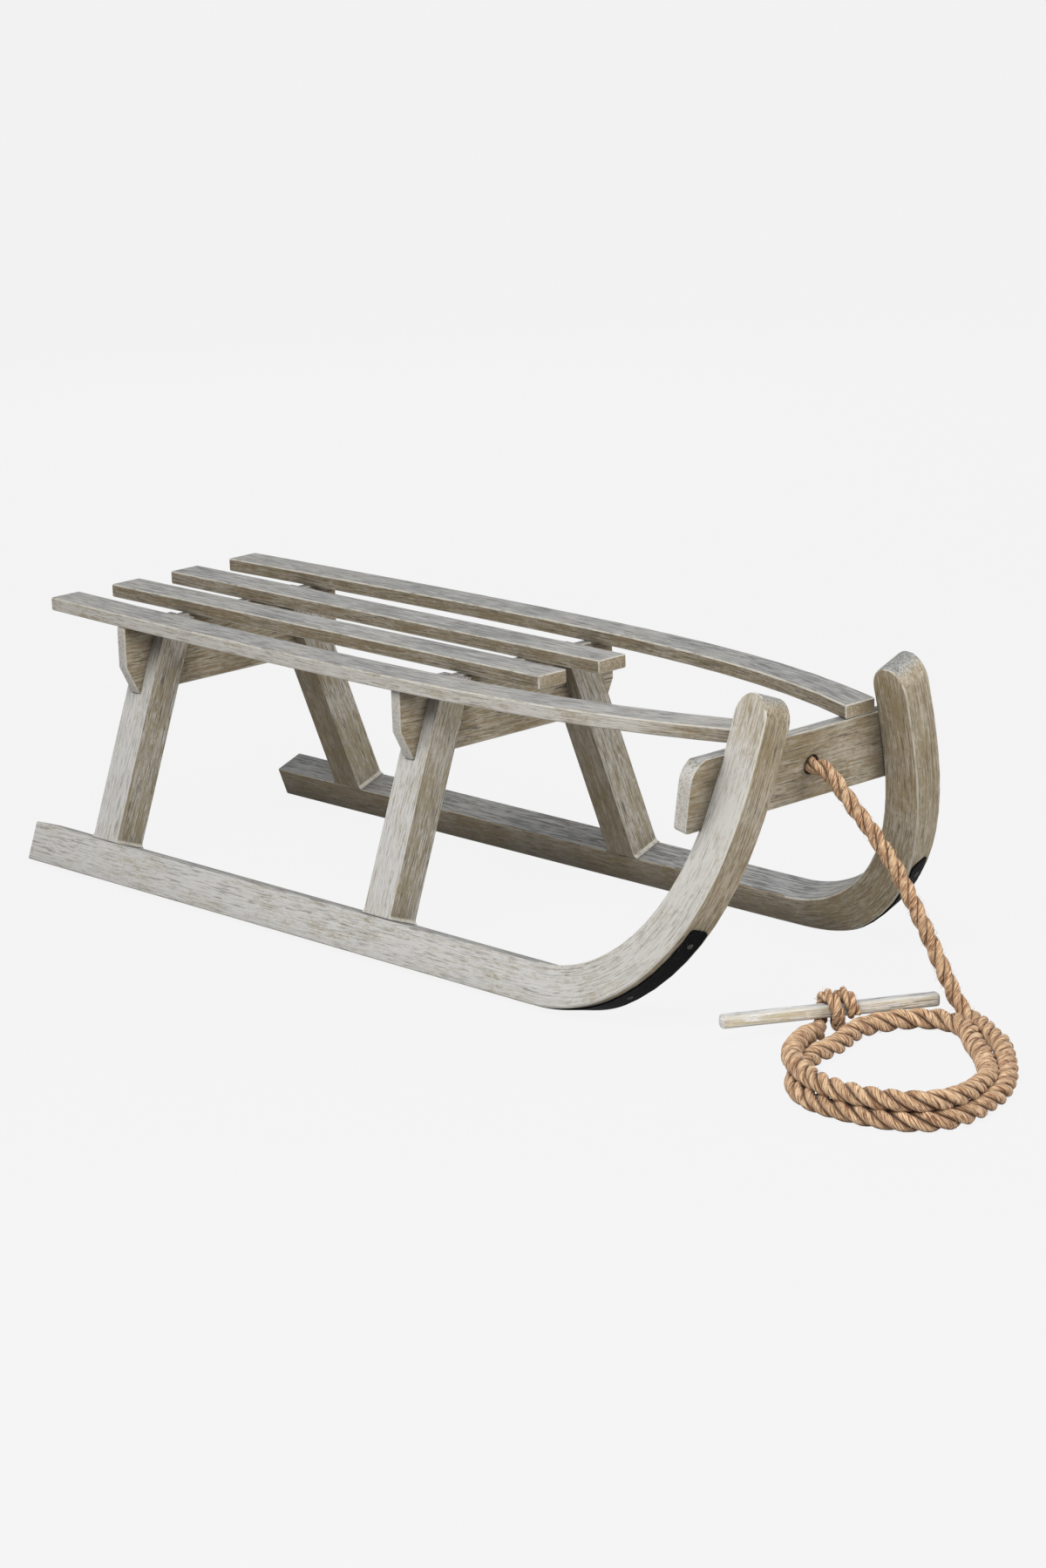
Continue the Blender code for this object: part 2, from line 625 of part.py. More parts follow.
def hitch_points(coil_end):
    """The hitch's middle line: from the coil's end straight to the toggle, and two turns round it."""
    half = TOGGLE_SIZE / 2 - TOGGLE_ROUND
    reach = TOGGLE_ROUND + CLEARANCE + HITCH_ROPE_DIAMETER / 2
    lap = 8 * half + 2 * math.pi * reach
    frame = toggle_frame()
    corner = frame @ Vector((HITCH_START, half, -half - reach))
    heading = (corner - coil_end).normalized()
    tail = frame.inverted().to_3x3() @ heading
    tail_slope = tail.x / -tail.y
    slope = HITCH_PITCH / lap
    ease = 0.016
    points = [coil_end + heading * (ROPE_DIAMETER + CLEARANCE)]
    last = 2 * lap - math.pi / 2 * reach
    steps = 44
    for i in range(steps + 1):
        s = last * i / steps
        x = min(s / ease, 1.0)
        along = HITCH_START + slope * s + (tail_slope - slope) * ease * (x - x ** 3 + x ** 4 / 2)
        front, up = hitch_lap(s)
        points.append(frame @ Vector((along, front, up)))
    down = Vector((0, 0, -(HITCH_ROPE_DIAMETER - 2 * half)))
    points.append(points[-1] + down)
    return heading, points


def rope(name, points, diameter, resolution):
    """A round rope along a middle line, closed at both ends."""
    curve = bpy.data.curves.new(name, "CURVE")
    curve.dimensions = "3D"
    curve.bevel_depth = diameter / 2
    curve.bevel_resolution = resolution
    curve.use_fill_caps = True
    spline = curve.splines.new("POLY")
    spline.points.add(len(points) - 1)
    for point, place in zip(spline.points, points):
        point.co = (*place, 1.0)
    spline.use_smooth = True
    curve.materials.append(MANILA)
    parts.objects.link(bpy.data.objects.new(name, curve))


def least_gap(one, other, apart, thickness):
    """Smallest gap between two middle lines, or within one, where points stand this far apart on it."""
    gap = 1.0
    for i, a in enumerate(one):
        for j, b in enumerate(other):
            if one is not other or j - i > apart:
                gap = min(gap, (a - b).length)
    return round((gap - thickness) * 1000, 2)


hole_frame = front_board_frame()
hole_back = hole_frame @ Vector((-FRONT_BOARD_THICKNESS, 0, 0))
hole_front = hole_frame @ Vector((0.001, 0, 0))
knot_place = Matrix.Translation((-FRONT_BOARD_THICKNESS - CLEARANCE - KNOT_LENGTH / 2, 0, 0))
knot_mesh = rod_mesh("rope_stopper_knot", KNOT_DIAMETER, KNOT_LENGTH,
                     hole_frame @ knot_place @ Matrix.Rotation(math.pi / 2, 4, "Y"), 16)
knot = keep(knot_mesh, "rope_stopper_knot", MANILA)
ease_edges(knot, 0.007, 3)
knot.data.shade_smooth()

COIL_STEPS = len(COIL_REACH) - 1
coil_fine = [coil_point(i / 20) for i in range(20 * COIL_STEPS + 1)]
coil_line = evenly(coil_fine, COIL_STEPS * COIL_POINTS_A_TURN // 12)
start_heading = (coil_fine[0] - from_rear(*LEAD_LANDING, COIL_HEIGHT)).normalized()
end_heading, hitch_line = hitch_points(coil_line[-1])
coil_line.append(coil_line[-1] + end_heading * ROPE_DIAMETER)
coil_line.insert(0, coil_line[0] - start_heading * ROPE_DIAMETER)

lead_end = coil_line[0] - start_heading * CLEARANCE
route = [hole_back, hole_front] + [from_rear(*place) for place in LEAD_ROUTE]
route += [lead_end - start_heading * ROPE_DIAMETER, lead_end]
LEAD_PARTS = 2
lead_line = [smooth_value(route, i / LEAD_PARTS) for i in range(1, LEAD_PARTS * (len(route) - 2))]
lead_line = [hole_back] + lead_line + [route[-2], lead_end]

rope("rope_lead", lead_line, ROPE_DIAMETER, 3)
rope("rope_coil", coil_line, ROPE_DIAMETER, 2)
rope("rope_hitch", hitch_line, HITCH_ROPE_DIAMETER, 2)
toggle_mesh = box_mesh("toggle", (TOGGLE_LENGTH, TOGGLE_SIZE, TOGGLE_SIZE), toggle_frame())
toggle = keep(toggle_mesh, "toggle", LIMED_WOOD)
ease_edges(toggle, TOGGLE_ROUND, 2)

coil_fine = evenly(coil_line, 400)
print("coil's least gap to itself, mm:", least_gap(coil_fine, coil_fine, 60, ROPE_DIAMETER))
hitch_fine = evenly(hitch_line, 150)
print("hitch's least gap to itself, mm:", least_gap(hitch_fine, hitch_fine, 30, HITCH_ROPE_DIAMETER))
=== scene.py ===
"""Finishes a slatted wooden sled: limewashed wood, black steel shoes and a laid pull rope.

The sled's own frame is used throughout, in metres: +X is forwards, +Y is its left and +Z is up.
Places along the rope are first counted from the slats' rear ends, as a maker would mark them.
"""
import json
import math
import random

import bmesh
import bpy
from mathutils import Matrix, Vector, noise

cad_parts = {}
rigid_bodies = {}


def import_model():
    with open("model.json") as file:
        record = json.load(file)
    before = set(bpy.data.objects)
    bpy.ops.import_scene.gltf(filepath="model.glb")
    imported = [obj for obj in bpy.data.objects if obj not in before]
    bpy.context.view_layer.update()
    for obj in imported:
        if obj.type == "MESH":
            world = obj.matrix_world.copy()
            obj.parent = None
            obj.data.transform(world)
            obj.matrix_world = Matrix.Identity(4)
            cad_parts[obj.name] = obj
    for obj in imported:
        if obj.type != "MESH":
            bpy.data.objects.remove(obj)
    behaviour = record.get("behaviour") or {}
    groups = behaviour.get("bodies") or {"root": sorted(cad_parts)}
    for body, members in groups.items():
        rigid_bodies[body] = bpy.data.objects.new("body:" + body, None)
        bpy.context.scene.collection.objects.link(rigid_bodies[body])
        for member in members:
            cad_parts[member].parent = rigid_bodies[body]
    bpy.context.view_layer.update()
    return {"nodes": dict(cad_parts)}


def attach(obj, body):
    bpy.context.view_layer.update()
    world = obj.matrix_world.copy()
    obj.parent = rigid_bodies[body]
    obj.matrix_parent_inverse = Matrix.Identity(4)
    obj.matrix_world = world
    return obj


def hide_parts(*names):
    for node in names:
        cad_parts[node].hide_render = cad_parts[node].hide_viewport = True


bl_info = {
    "name": "Slatted Sled",
    "version": (1, 0, 0),
    "blender": (4, 5, 0),
    "location": "3D View > Sidebar > Sled",
    "description": "Gives a wooden sled its limewashed finish, steel shoes, pull rope and studio",
    "category": "Object",
}

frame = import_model()
SIDES = (("right", -1), ("left", 1))
REAR_TO_MIDDLE = 0.4017

# The bent runners, as the sled's maker sets them out
CANT = math.radians(20.5)
RUNNER_OUTER_EDGE = 0.1576
RUNNER_WIDTH = 0.0274
BEND_START = 0.620
BEND_LENGTH = 0.365
HORN_DEGREES = 86.5
HORN_SPREAD = 0.07
SOLE_HEIGHT = 0.00468
SHOE_OUTER_MARGIN = 0.0062
SHOE_WIDTH = 0.0176

# The way the pull rope lies
LEAD_ROUTE = (
    (0.7776, 0.0006, 0.1806), (0.7855, 0.0026, 0.1735), (0.7945, 0.0050, 0.1622), (0.8050, 0.0075, 0.1495),
    (0.8158, 0.0098, 0.1375), (0.8262, 0.0120, 0.1240), (0.8362, 0.0142, 0.1098), (0.8447, 0.0160, 0.0950),
    (0.8528, 0.0178, 0.0800), (0.8610, 0.0197, 0.0640), (0.8690, 0.0216, 0.0475), (0.8765, 0.0238, 0.0315),
    (0.8830, 0.0258, 0.0180), (0.8922, 0.0268, 0.0088), (0.9045, 0.0230, 0.0068))
COIL_CENTRE = (0.928, -0.088)
COIL_FIRST_ANGLE = 83.0
COIL_STEP_ANGLE = 30.0
COIL_REACH = (0.0895, 0.0768, 0.0802, 0.0991, 0.1239, 0.1070, 0.0914, 0.0709, 0.0640, 0.0650, 0.0935,
              0.1038, 0.0707, 0.0612, 0.0660, 0.0885, 0.1210, 0.1062, 0.0866, 0.0768, 0.0755, 0.0904)
COIL_LIFT = (0, 0, 0, 0, 0, 0, 0, 0, 0, 0, 0, 0, 0, 0, 0.2, 0.65, 1, 1, 1, 0.95, 0.65, 0.12)
COIL_RISE = 0.0132
COIL_HEIGHT = 0.0080
HITCH_START = -0.0085
HITCH_PITCH = 0.0119


class SledRopeSettings(bpy.types.PropertyGroup):
    diameter: bpy.props.FloatProperty(
        name="Diameter", description="Thickness of the pull rope over its three strands",
        default=0.013, min=0.006, max=0.02, unit="LENGTH")
    length: bpy.props.FloatProperty(
        name="Length", description="Rope from the front board to its end at the toggle",
        default=1.32, min=0.5, max=3.0, unit="LENGTH")
    lay_length: bpy.props.FloatProperty(
        name="Lay length", description="Way along the rope in which a strand goes once round it",
        default=0.047, min=0.02, max=0.08, unit="LENGTH")
    hitch_diameter: bpy.props.FloatProperty(
        name="Hitch rope", description="Thickness of the rope where it is pulled tight round the toggle",
        default=0.0105, min=0.006, max=0.02, unit="LENGTH")
    fibres: bpy.props.IntProperty(
        name="Loose fibres", description="Number of loose hairs along the rope", default=2600, min=0, max=6000)
    straw: bpy.props.FloatVectorProperty(
        name="Straw", description="Colour of the clean fibre", subtype="COLOR",
        default=(0.67, 0.455, 0.275), min=0.0, max=1.0)
    rust: bpy.props.FloatVectorProperty(
        name="Rust", description="Colour of the darker fibre between the yarns", subtype="COLOR",
        default=(0.29, 0.13, 0.06), min=0.0, max=1.0)


class SledWoodSettings(bpy.types.PropertyGroup):
    lime: bpy.props.FloatVectorProperty(
        name="Limewash", description="Colour of the thin whitewash", subtype="COLOR",
        default=(0.62, 0.61, 0.59), min=0.0, max=1.0)
    wood: bpy.props.FloatVectorProperty(
        name="Wood", description="Colour of the old wood that shows through the wash", subtype="COLOR",
        default=(0.345, 0.295, 0.205), min=0.0, max=1.0)
    weathered: bpy.props.FloatVectorProperty(
        name="Weathered tops", description="Cooler grey of the faces that look up", subtype="COLOR",
        default=(0.255, 0.26, 0.263), min=0.0, max=1.0)
    grain: bpy.props.FloatVectorProperty(
        name="Grain", description="Colour down in the brushed-out grain", subtype="COLOR",
        default=(0.085, 0.075, 0.06), min=0.0, max=1.0)
    # Khaki tint: the old wood under a thin wash, and painted warm shade, on the faces that look neither up nor out
    aged_tint_and_shade: bpy.props.FloatVectorProperty(
        name="Aged tint", description="Khaki tint of the boards' and horns' faces that hold little wash",
        subtype="COLOR", default=(0.87, 0.79, 0.66), min=0.0, max=1.0)
    # Painted shade on the slats' sides and on the faces that look inwards
    painted_shade_tint: bpy.props.FloatVectorProperty(
        name="Dirt", description="Further tint of the slats' sides and of the faces that look inwards",
        subtype="COLOR", default=(0.56, 0.56, 0.57), min=0.0, max=1.0)
    # Pale eased edges: wear, and a painted highlight along them
    rubbed_and_highlight: bpy.props.FloatVectorProperty(
        name="Rubbed edges", description="Pale colour of the eased edges", subtype="COLOR",
        default=(0.64, 0.61, 0.54), min=0.0, max=1.0)
    streak_length: bpy.props.FloatProperty(
        name="Streak length", description="Usual length of a brushed streak along the grain",
        default=0.030, min=0.005, max=0.3, unit="LENGTH")
    streak_width: bpy.props.FloatProperty(
        name="Streak width", description="Usual width of a brushed streak",
        default=0.0014, min=0.0003, max=0.01, unit="LENGTH")
    relief: bpy.props.FloatProperty(
        name="Relief", description="Depth of the brushed grain", default=0.00022, min=0.0, max=0.002,
        precision=5, unit="LENGTH")


class SledSteelSettings(bpy.types.PropertyGroup):
    black: bpy.props.FloatVectorProperty(
        name="Black", description="Colour of the shoes' black finish", subtype="COLOR",
        default=(0.004, 0.004, 0.0042), min=0.0, max=1.0)
    bare: bpy.props.FloatVectorProperty(
        name="Bare steel", description="Colour of the steel in its scratches", subtype="COLOR",
        default=(0.20, 0.19, 0.18), min=0.0, max=1.0)
    corner: bpy.props.FloatProperty(
        name="Corner", description="How far the corners of a shoe's ends are rounded off",
        default=0.0035, min=0.0, max=0.008, unit="LENGTH")
    screw_diameter: bpy.props.FloatProperty(
        name="Screw head", description="Diameter of the countersunk screws' heads",
        default=0.0052, min=0.003, max=0.01, unit="LENGTH")


class SledStageSettings(bpy.types.PropertyGroup):
    camera_place: bpy.props.FloatVectorProperty(
        name="Camera", description="Where the camera stands", subtype="TRANSLATION", unit="LENGTH",
        default=(2.5760, -2.3490, 1.0369))
    camera_turn: bpy.props.FloatVectorProperty(
        name="Camera turn", description="Heading, downward tilt and roll of the camera", subtype="EULER",
        default=(math.radians(47.07), math.radians(14.99), math.radians(-1.98)))
    lens: bpy.props.FloatProperty(
        name="Lens", description="Focal length in millimetres", default=103.75, min=10.0, max=300.0)
    key_power: bpy.props.FloatProperty(
        name="Key", description="Power of the large soft lamp over the sled's right side",
        default=50.0, min=0.0, max=1000.0, subtype="POWER")
    fill_power: bpy.props.FloatProperty(
        name="Fill", description="Power of the weak soft lamp ahead of the sled",
        default=19.0, min=0.0, max=1000.0, subtype="POWER")
    back_power: bpy.props.FloatProperty(
        name="Back", description="Power of the weak soft lamp behind the sled's left side",
        default=9.0, min=0.0, max=1000.0, subtype="POWER")
    room: bpy.props.FloatProperty(
        name="Room", description="Strength of the light from the pale room", default=0.26, min=0.0, max=2.0)
    paper: bpy.props.FloatProperty(
        name="Paper", description="How pale the paper sweep looks", default=0.92, min=0.0, max=1.0)


# Shader nodes

def add_node(tree, kind, inputs, **settings):
    """A shader node; an input is either a value or another node's output."""
    made = tree.nodes.new(kind)
    for name, value in settings.items():
        setattr(made, name, value)
    for name, value in inputs.items():
        if isinstance(value, bpy.types.NodeSocket):
            tree.links.new(value, made.inputs[name])
        else:
            made.inputs[name].default_value = value
    return made


def new_material(name):
    material = bpy.data.materials.new(name)
    material.use_nodes = True
    tree = material.node_tree
    return material, tree, tree.nodes["Principled BSDF"]


def attribute_vector(tree, name):
    return add_node(tree, "ShaderNodeAttribute", {}, attribute_name=name).outputs["Vector"]


def stretched_noise(tree, vector, size, detail=3.0, roughness=0.55, offset=0.0, distortion=0.0):
    """Noise whose grains have the given sizes in metres along the vector's three axes."""
    spread = add_node(tree, "ShaderNodeMapping", {
        "Vector": vector, "Scale": tuple(1.0 / length for length in size), "Location": (offset, offset, offset)})
    return add_node(tree, "ShaderNodeTexNoise", {
        "Vector": spread.outputs["Vector"], "Scale": 1.0, "Detail": detail, "Roughness": roughness,
        "Distortion": distortion}).outputs["Fac"]


def between(tree, value, low, high):
    """The value spread over 0 to 1, with soft ends at low and high."""
    return add_node(tree, "ShaderNodeMapRange", {"Value": value, "From Min": low, "From Max": high},
                    interpolation_type="SMOOTHSTEP").outputs["Result"]


def calculate(tree, operation, first, second=0.0):
    made = tree.nodes.new("ShaderNodeMath")
    made.operation = operation
    for socket, value in zip(made.inputs, (first, second)):
        if isinstance(value, bpy.types.NodeSocket):
            tree.links.new(value, socket)
        else:
            socket.default_value = value
    return made.outputs["Value"]


def blend(tree, share, first, second, blend_type="MIX"):
    """Two colours blended; each is a colour's three numbers or another node's output."""
    made = tree.nodes.new("ShaderNodeMix")
    made.data_type = "RGBA"
    made.blend_type = blend_type
    for socket, value in ((made.inputs[0], share), (made.inputs[6], first), (made.inputs[7], second)):
        if isinstance(value, bpy.types.NodeSocket):
            tree.links.new(value, socket)
        elif isinstance(value, float):
            socket.default_value = value
        else:
            socket.default_value = (*value, 1.0)
    return made.outputs[2]


def raise_surface(tree, shader, height, distance, strength=1.0):
    bump = add_node(tree, "ShaderNodeBump", {"Height": height, "Distance": distance, "Strength": strength})
    tree.links.new(bump.outputs["Normal"], shader.inputs["Normal"])


def painted_corner_shade(tree, reach, low, high):
    """Painted shade: 1 deep in the corners and joints, where little light reaches, 0 where the surface lies open."""
    open_share = add_node(tree, "ShaderNodeAmbientOcclusion", {"Distance": reach}, samples=6).outputs["AO"]
    return calculate(tree, "SUBTRACT", 1.0, between(tree, open_share, low, high))


# Meshes

def keep_piece(bm, name, material, replaces=()):
    """Makes a finished bmesh a piece of the sled that stands for the given CAD nodes."""
    mesh = bpy.data.meshes.new(name)
    bm.to_mesh(mesh)
    bm.free()
    mesh.materials.clear()
    mesh.materials.append(material)
    piece = bpy.data.objects.new(name, mesh)
    bpy.context.scene.collection.objects.link(piece)
    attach(piece, "root")
    if replaces:
        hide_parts(*replaces)
    return piece


def smoothstep(value):
    value = min(max(value, 0.0), 1.0)
    return value * value * (3.0 - 2.0 * value)


def underside_line():
    """Stations (x, t, slope, arc) of a runner's underside in its canted plane."""
    stations = [(x / 20 * BEND_START, 0.0, 0.0, x / 20 * BEND_START) for x in range(20)]
    x, t, slope, count = BEND_START, 0.0, 0.0, 120
    step = BEND_LENGTH / count
    for i in range(count + 1):
        stations.append((x, t, slope, BEND_START + i * step))
        after = math.radians(HORN_DEGREES) * math.sin(math.pi / 2 * (i + 1) / count)
        x += math.cos((slope + after) / 2) * step
        t += math.sin((slope + after) / 2) * step
        slope = after
    return stations


UNDERSIDE = underside_line()


def canted_place(x, t, inner, side):
    """A point of a canted side plane, in the sled's frame; inner counts from the outer face."""
    spread = HORN_SPREAD * t * smoothstep((x - BEND_START) / 0.1)
    y = RUNNER_OUTER_EDGE + spread - t * math.sin(CANT) - inner * math.cos(CANT)
    z = SOLE_HEIGHT + t * math.cos(CANT) - inner * math.sin(CANT)
    return Vector((x - REAR_TO_MIDDLE, side * y, z))


def runner_grain(place):
    """Along, across and up a bent runner, for a point of it."""
    x = place.x + REAR_TO_MIDDLE
    spread = HORN_SPREAD * smoothstep((x - BEND_START) / 0.1) - math.sin(CANT)
    out, up = abs(place.y) - RUNNER_OUTER_EDGE, place.z - SOLE_HEIGHT
    t = (out * math.sin(CANT) - up * math.cos(CANT)) / (spread * math.sin(CANT) - math.cos(CANT) ** 2)
    inner = (t * math.cos(CANT) - up) / math.sin(CANT)
    best = min(UNDERSIDE, key=lambda station: (station[0] - x) ** 2 + (station[1] - t) ** 2)
    ahead = (x - best[0]) * math.cos(best[2]) + (t - best[1]) * math.sin(best[2])
    rise = (t - best[1]) * math.cos(best[2]) - (x - best[0]) * math.sin(best[2])
    return Vector((best[3] + ahead, inner, rise))


def outer_slat_grain(place):
    """Along, across and up an outer slat, which bows out between its ends."""
    x = place.x + REAR_TO_MIDDLE
    if x < 0.328:
        centre = 0.1063 - 0.0093 * ((0.328 - x) / 0.328) ** 1.6 if x > 0 else 0.097
    else:
        centre = 0.1063 - 0.0573 * ((x - 0.328) / 0.442) ** 3
    return Vector((x, abs(place.y) - centre, place.z))


def leg_grain(place):
    """Up, along and across a canted leg."""
    up = place.z * math.cos(CANT) - abs(place.y) * math.sin(CANT)
    across = abs(place.y) * math.cos(CANT) + place.z * math.sin(CANT)
    return Vector((up, place.x, across))


def toggle_grain(place):
    along = math.radians(59.9)
    return Vector((place.x * math.cos(along) + place.y * math.sin(along),
                   place.x * math.sin(along) - place.y * math.cos(along), place.z))


GRAINS = {"runner": runner_grain, "slat_outer": outer_slat_grain, "leg": leg_grain, "toggle": toggle_grain,
          "slat_inner": lambda place: Vector((place.x, place.y, place.z)),
          "trestle_board": lambda place: Vector((place.y, place.z, place.x)),
          "front_board": lambda place: Vector((place.y, place.z, place.x))}
# Share of the khaki tint for each kind of piece: thin wash and painted warm shade
KHAKI_AND_SHADE_SHARES = {"runner": 0.2, "slat_outer": 1.0, "slat_inner": 1.0, "leg": 0.3, "toggle": 0.0,
               "trestle_board": 1.0, "front_board": 1.0}
NARROW = 0.0022


def merged_copy(node):
    """A CAD node's shape as one closed mesh; a bent one keeps short faces along its bend."""
    bm = bmesh.new()
    bm.from_mesh(bpy.data.objects[node].data)
    bmesh.ops.remove_doubles(bm, verts=bm.verts, dist=0.000002)
    if node.startswith(("runner", "shoe")):
        bmesh.ops.join_triangles(bm, faces=bm.faces, angle_face_threshold=0.02, angle_shape_threshold=0.7)
    else:
        bmesh.ops.dissolve_limit(bm, angle_limit=0.004, verts=bm.verts, edges=bm.edges)
    if node.startswith("slat_outer"):
        for cut in range(1, 51):
            bmesh.ops.bisect_plane(bm, geom=bm.verts[:] + bm.edges[:] + bm.faces[:], dist=0.000002,
                                   plane_co=from_rear(0.015 * cut, 0, 0), plane_no=(1, 0, 0))
    return bm


def is_eased(face):
    """Whether a face is the narrow slope along an eased edge."""
    sloped = [edge.calc_length() for edge in face.edges if 20 < math.degrees(edge.calc_face_angle(0.0)) < 70]
    return len(sloped) > 1 and face.calc_area() / (sum(sloped) / 2) < NARROW


def khaki_and_shade_share(kind, face, place):
    """How much khaki tint a face takes, up to 1, for its thin wash and painted warm shade, and how much further painted
    shade it takes, over 1.
    """
    bend = smoothstep((place.x + REAR_TO_MIDDLE - BEND_START) / 0.12)
    share = KHAKI_AND_SHADE_SHARES[kind]
    if kind == "runner":
        share += 0.8 * bend
    # Painted shade over 1: the slats' sides, shaded by the next slats, and the legs' and runners' faces that look
    # inwards, under the seat
    if kind.startswith("slat") and abs(face.normal.y) > 0.5:
        share += 0.8
    elif kind in ("leg", "runner") and abs(face.normal.y) > 0.5 and face.normal.y * place.y < 0:
        share += 1.2 * (1.0 - bend)
    return share


def wooden_piece(node, number, material):
    """A wooden part with soft, pale-worn edges that also carry a painted highlight, and its grain running along it."""
    bm = merged_copy(node)
    sharpest = math.radians(20 if node.startswith(("runner", "slat_outer")) else 60)
    kind = next(name for name in GRAINS if node.startswith(name))
    grain = bm.verts.layers.float_vector.new("grain")
    for vert in bm.verts:
        vert[grain] = GRAINS[kind](vert.co) + Vector((0.37, 0.113, 0.071)) * (number + 1)
    # Per face corner: whether the face is an eased edge, which takes wear and a painted highlight, and its share of
    # khaki tint and painted shade
    rubbed_and_highlight, aged_tint_and_shade = (bm.loops.layers.float.new(name) for name in ("rubbed_and_highlight", "aged_tint_and_shade"))
    for face in bm.faces:
        face.smooth = True
        eased = is_eased(face)
        for loop in face.loops:
            loop[rubbed_and_highlight] = float(eased)
            loop[aged_tint_and_shade] = khaki_and_shade_share(kind, face, loop.vert.co)
    for edge in bm.edges:
        edge.smooth = edge.calc_face_angle(math.pi) < sharpest
    piece = keep_piece(bm, "wood_" + node, material, (node,))
    weighted = piece.modifiers.new("soft_edges", "WEIGHTED_NORMAL")
    weighted.keep_sharp = True
    weighted.weight = 90
    return piece


# Rope

def smooth_value(values, place):
    """A value read from a smooth curve through values that stand one step apart."""
    i = min(int(place), len(values) - 2)
    t = place - i
    before = values[i - 1] if i > 0 else values[i] * 2 - values[i + 1]
    after = values[i + 2] if i + 2 < len(values) else values[i + 1] * 2 - values[i]
    start, end = values[i], values[i + 1]
    bend = start * 2 + (end - before) * t
    bend += (before * 2 - start * 5 + end * 4 - after) * t ** 2
    bend += (start * 3 - before - end * 3 + after) * t ** 3
    return bend / 2


def evenly(line, count):
    """The same line with its points an equal way apart."""
    ways = [0.0]
    for near, far in zip(line, line[1:]):
        ways.append(ways[-1] + (far - near).length)
    points, j = [], 0
    for i in range(count + 1):
        way = ways[-1] * i / count
        while j < len(line) - 2 and ways[j + 1] < way:
            j += 1
        share = (way - ways[j]) / (ways[j + 1] - ways[j])
        points.append(line[j].lerp(line[j + 1], min(share, 1.0)))
    return points


def way_along(line):
    return sum((far - near).length for near, far in zip(line, line[1:]))


def from_rear(x, y, z):
    return Vector((x - REAR_TO_MIDDLE, y, z))


def board_frame():
    """The front board's own frame: Y across the sled, Z up the leaning board, origin mid front face."""
    top = from_rear(0.7700, 0.0, 0.2099)
    return Matrix.Translation(top) @ Matrix.Rotation(math.radians(10), 4, "Y") @ Matrix.Translation((0, 0, -0.02825))


def coil_point(step):
    """A point of the coil's middle line; steps are twelfths of a turn, clockwise seen from above."""
    turn = math.radians(COIL_FIRST_ANGLE - COIL_STEP_ANGLE * step)
    reach = smooth_value(COIL_REACH, step)
    lift = COIL_RISE * smooth_value(COIL_LIFT, step)
    return from_rear(COIL_CENTRE[0] + reach * math.cos(turn), COIL_CENTRE[1] + reach * math.sin(turn),
                     COIL_HEIGHT + max(lift, 0.0))


def toggle_frame():
    """The toggle's own frame: X along it, Y out of its front towards the coil, Z up."""
    heading = math.radians(59.9)
    along = Vector((math.cos(heading), math.sin(heading), 0))
    front = Vector((along.y, -along.x, 0))
    middle = from_rear(0.8239, -0.0472, 0.0160)
    return Matrix.Translation(middle) @ Matrix((along, front, Vector((0, 0, 1)))).transposed().to_4x4()


def hitch_lap(s, reach, half):
    """Front and up position of the hitch's rope, s metres on from the toggle's lower front corner."""
    s %= 8 * half + 2 * math.pi * reach
    for front, up, start in ((-half, -half, -90), (-half, half, 180), (half, half, 90), (half, -half, 0)):
        corner = Vector((front, up))
        angle = math.radians(start)
        turned = Vector((math.cos(angle), math.sin(angle)))
        ahead = Vector((math.sin(angle), -math.cos(angle)))
        if s <= 2 * half:
            return corner + turned * reach - ahead * (2 * half - s)
        s -= 2 * half
        if s <= math.pi / 2 * reach:
            angle -= s / reach
            return corner + Vector((math.cos(angle), math.sin(angle))) * reach
        s -= math.pi / 2 * reach
    return Vector((half, -half - reach))


def hitch_points(coil_end, thickness):
    """The hitch's middle line: from the coil's end straight to the toggle, and two turns round it."""
    half, reach = 0.0025, 0.0028 + thickness / 2
    lap = 8 * half + 2 * math.pi * reach
    toggle = toggle_frame()
    corner = toggle @ Vector((HITCH_START, half, -half - reach))
    heading = (corner - coil_end).normalized()
    tail = toggle.inverted().to_3x3() @ heading
    slope = HITCH_PITCH / lap
    ease = 0.016
    points = [coil_end, coil_end + heading * 0.0133]
    last = 2 * lap - math.pi / 2 * reach
    steps = 88
    for i in range(steps + 1):
        s = last * i / steps
        x = min(s / ease, 1.0)
        along = HITCH_START + slope * s + (tail.x / -tail.y - slope) * ease * (x - x ** 3 + x ** 4 / 2)
        front, up = hitch_lap(s, reach, half)
        points.append(toggle @ Vector((along, front, up)))
    return points


def rope_lines(thickness):
    """The middle lines of the free rope, from the board's hole to the toggle, and of its hitch."""
    hole = board_frame()
    coil = [coil_point(i / 10) for i in range(10 * (len(COIL_REACH) - 1) + 1)]
    route = [hole @ Vector((-0.0125, 0, 0)), hole @ Vector((0.001, 0, 0))]
    route += [from_rear(*place) for place in LEAD_ROUTE] + [from_rear(0.9150, 0.0165, COIL_HEIGHT), coil[0]]
    lead = [smooth_value(route, i / 6) for i in range(6 * (len(route) - 1))]
    hitch = hitch_points(coil[-1], thickness)
    return lead + coil, hitch


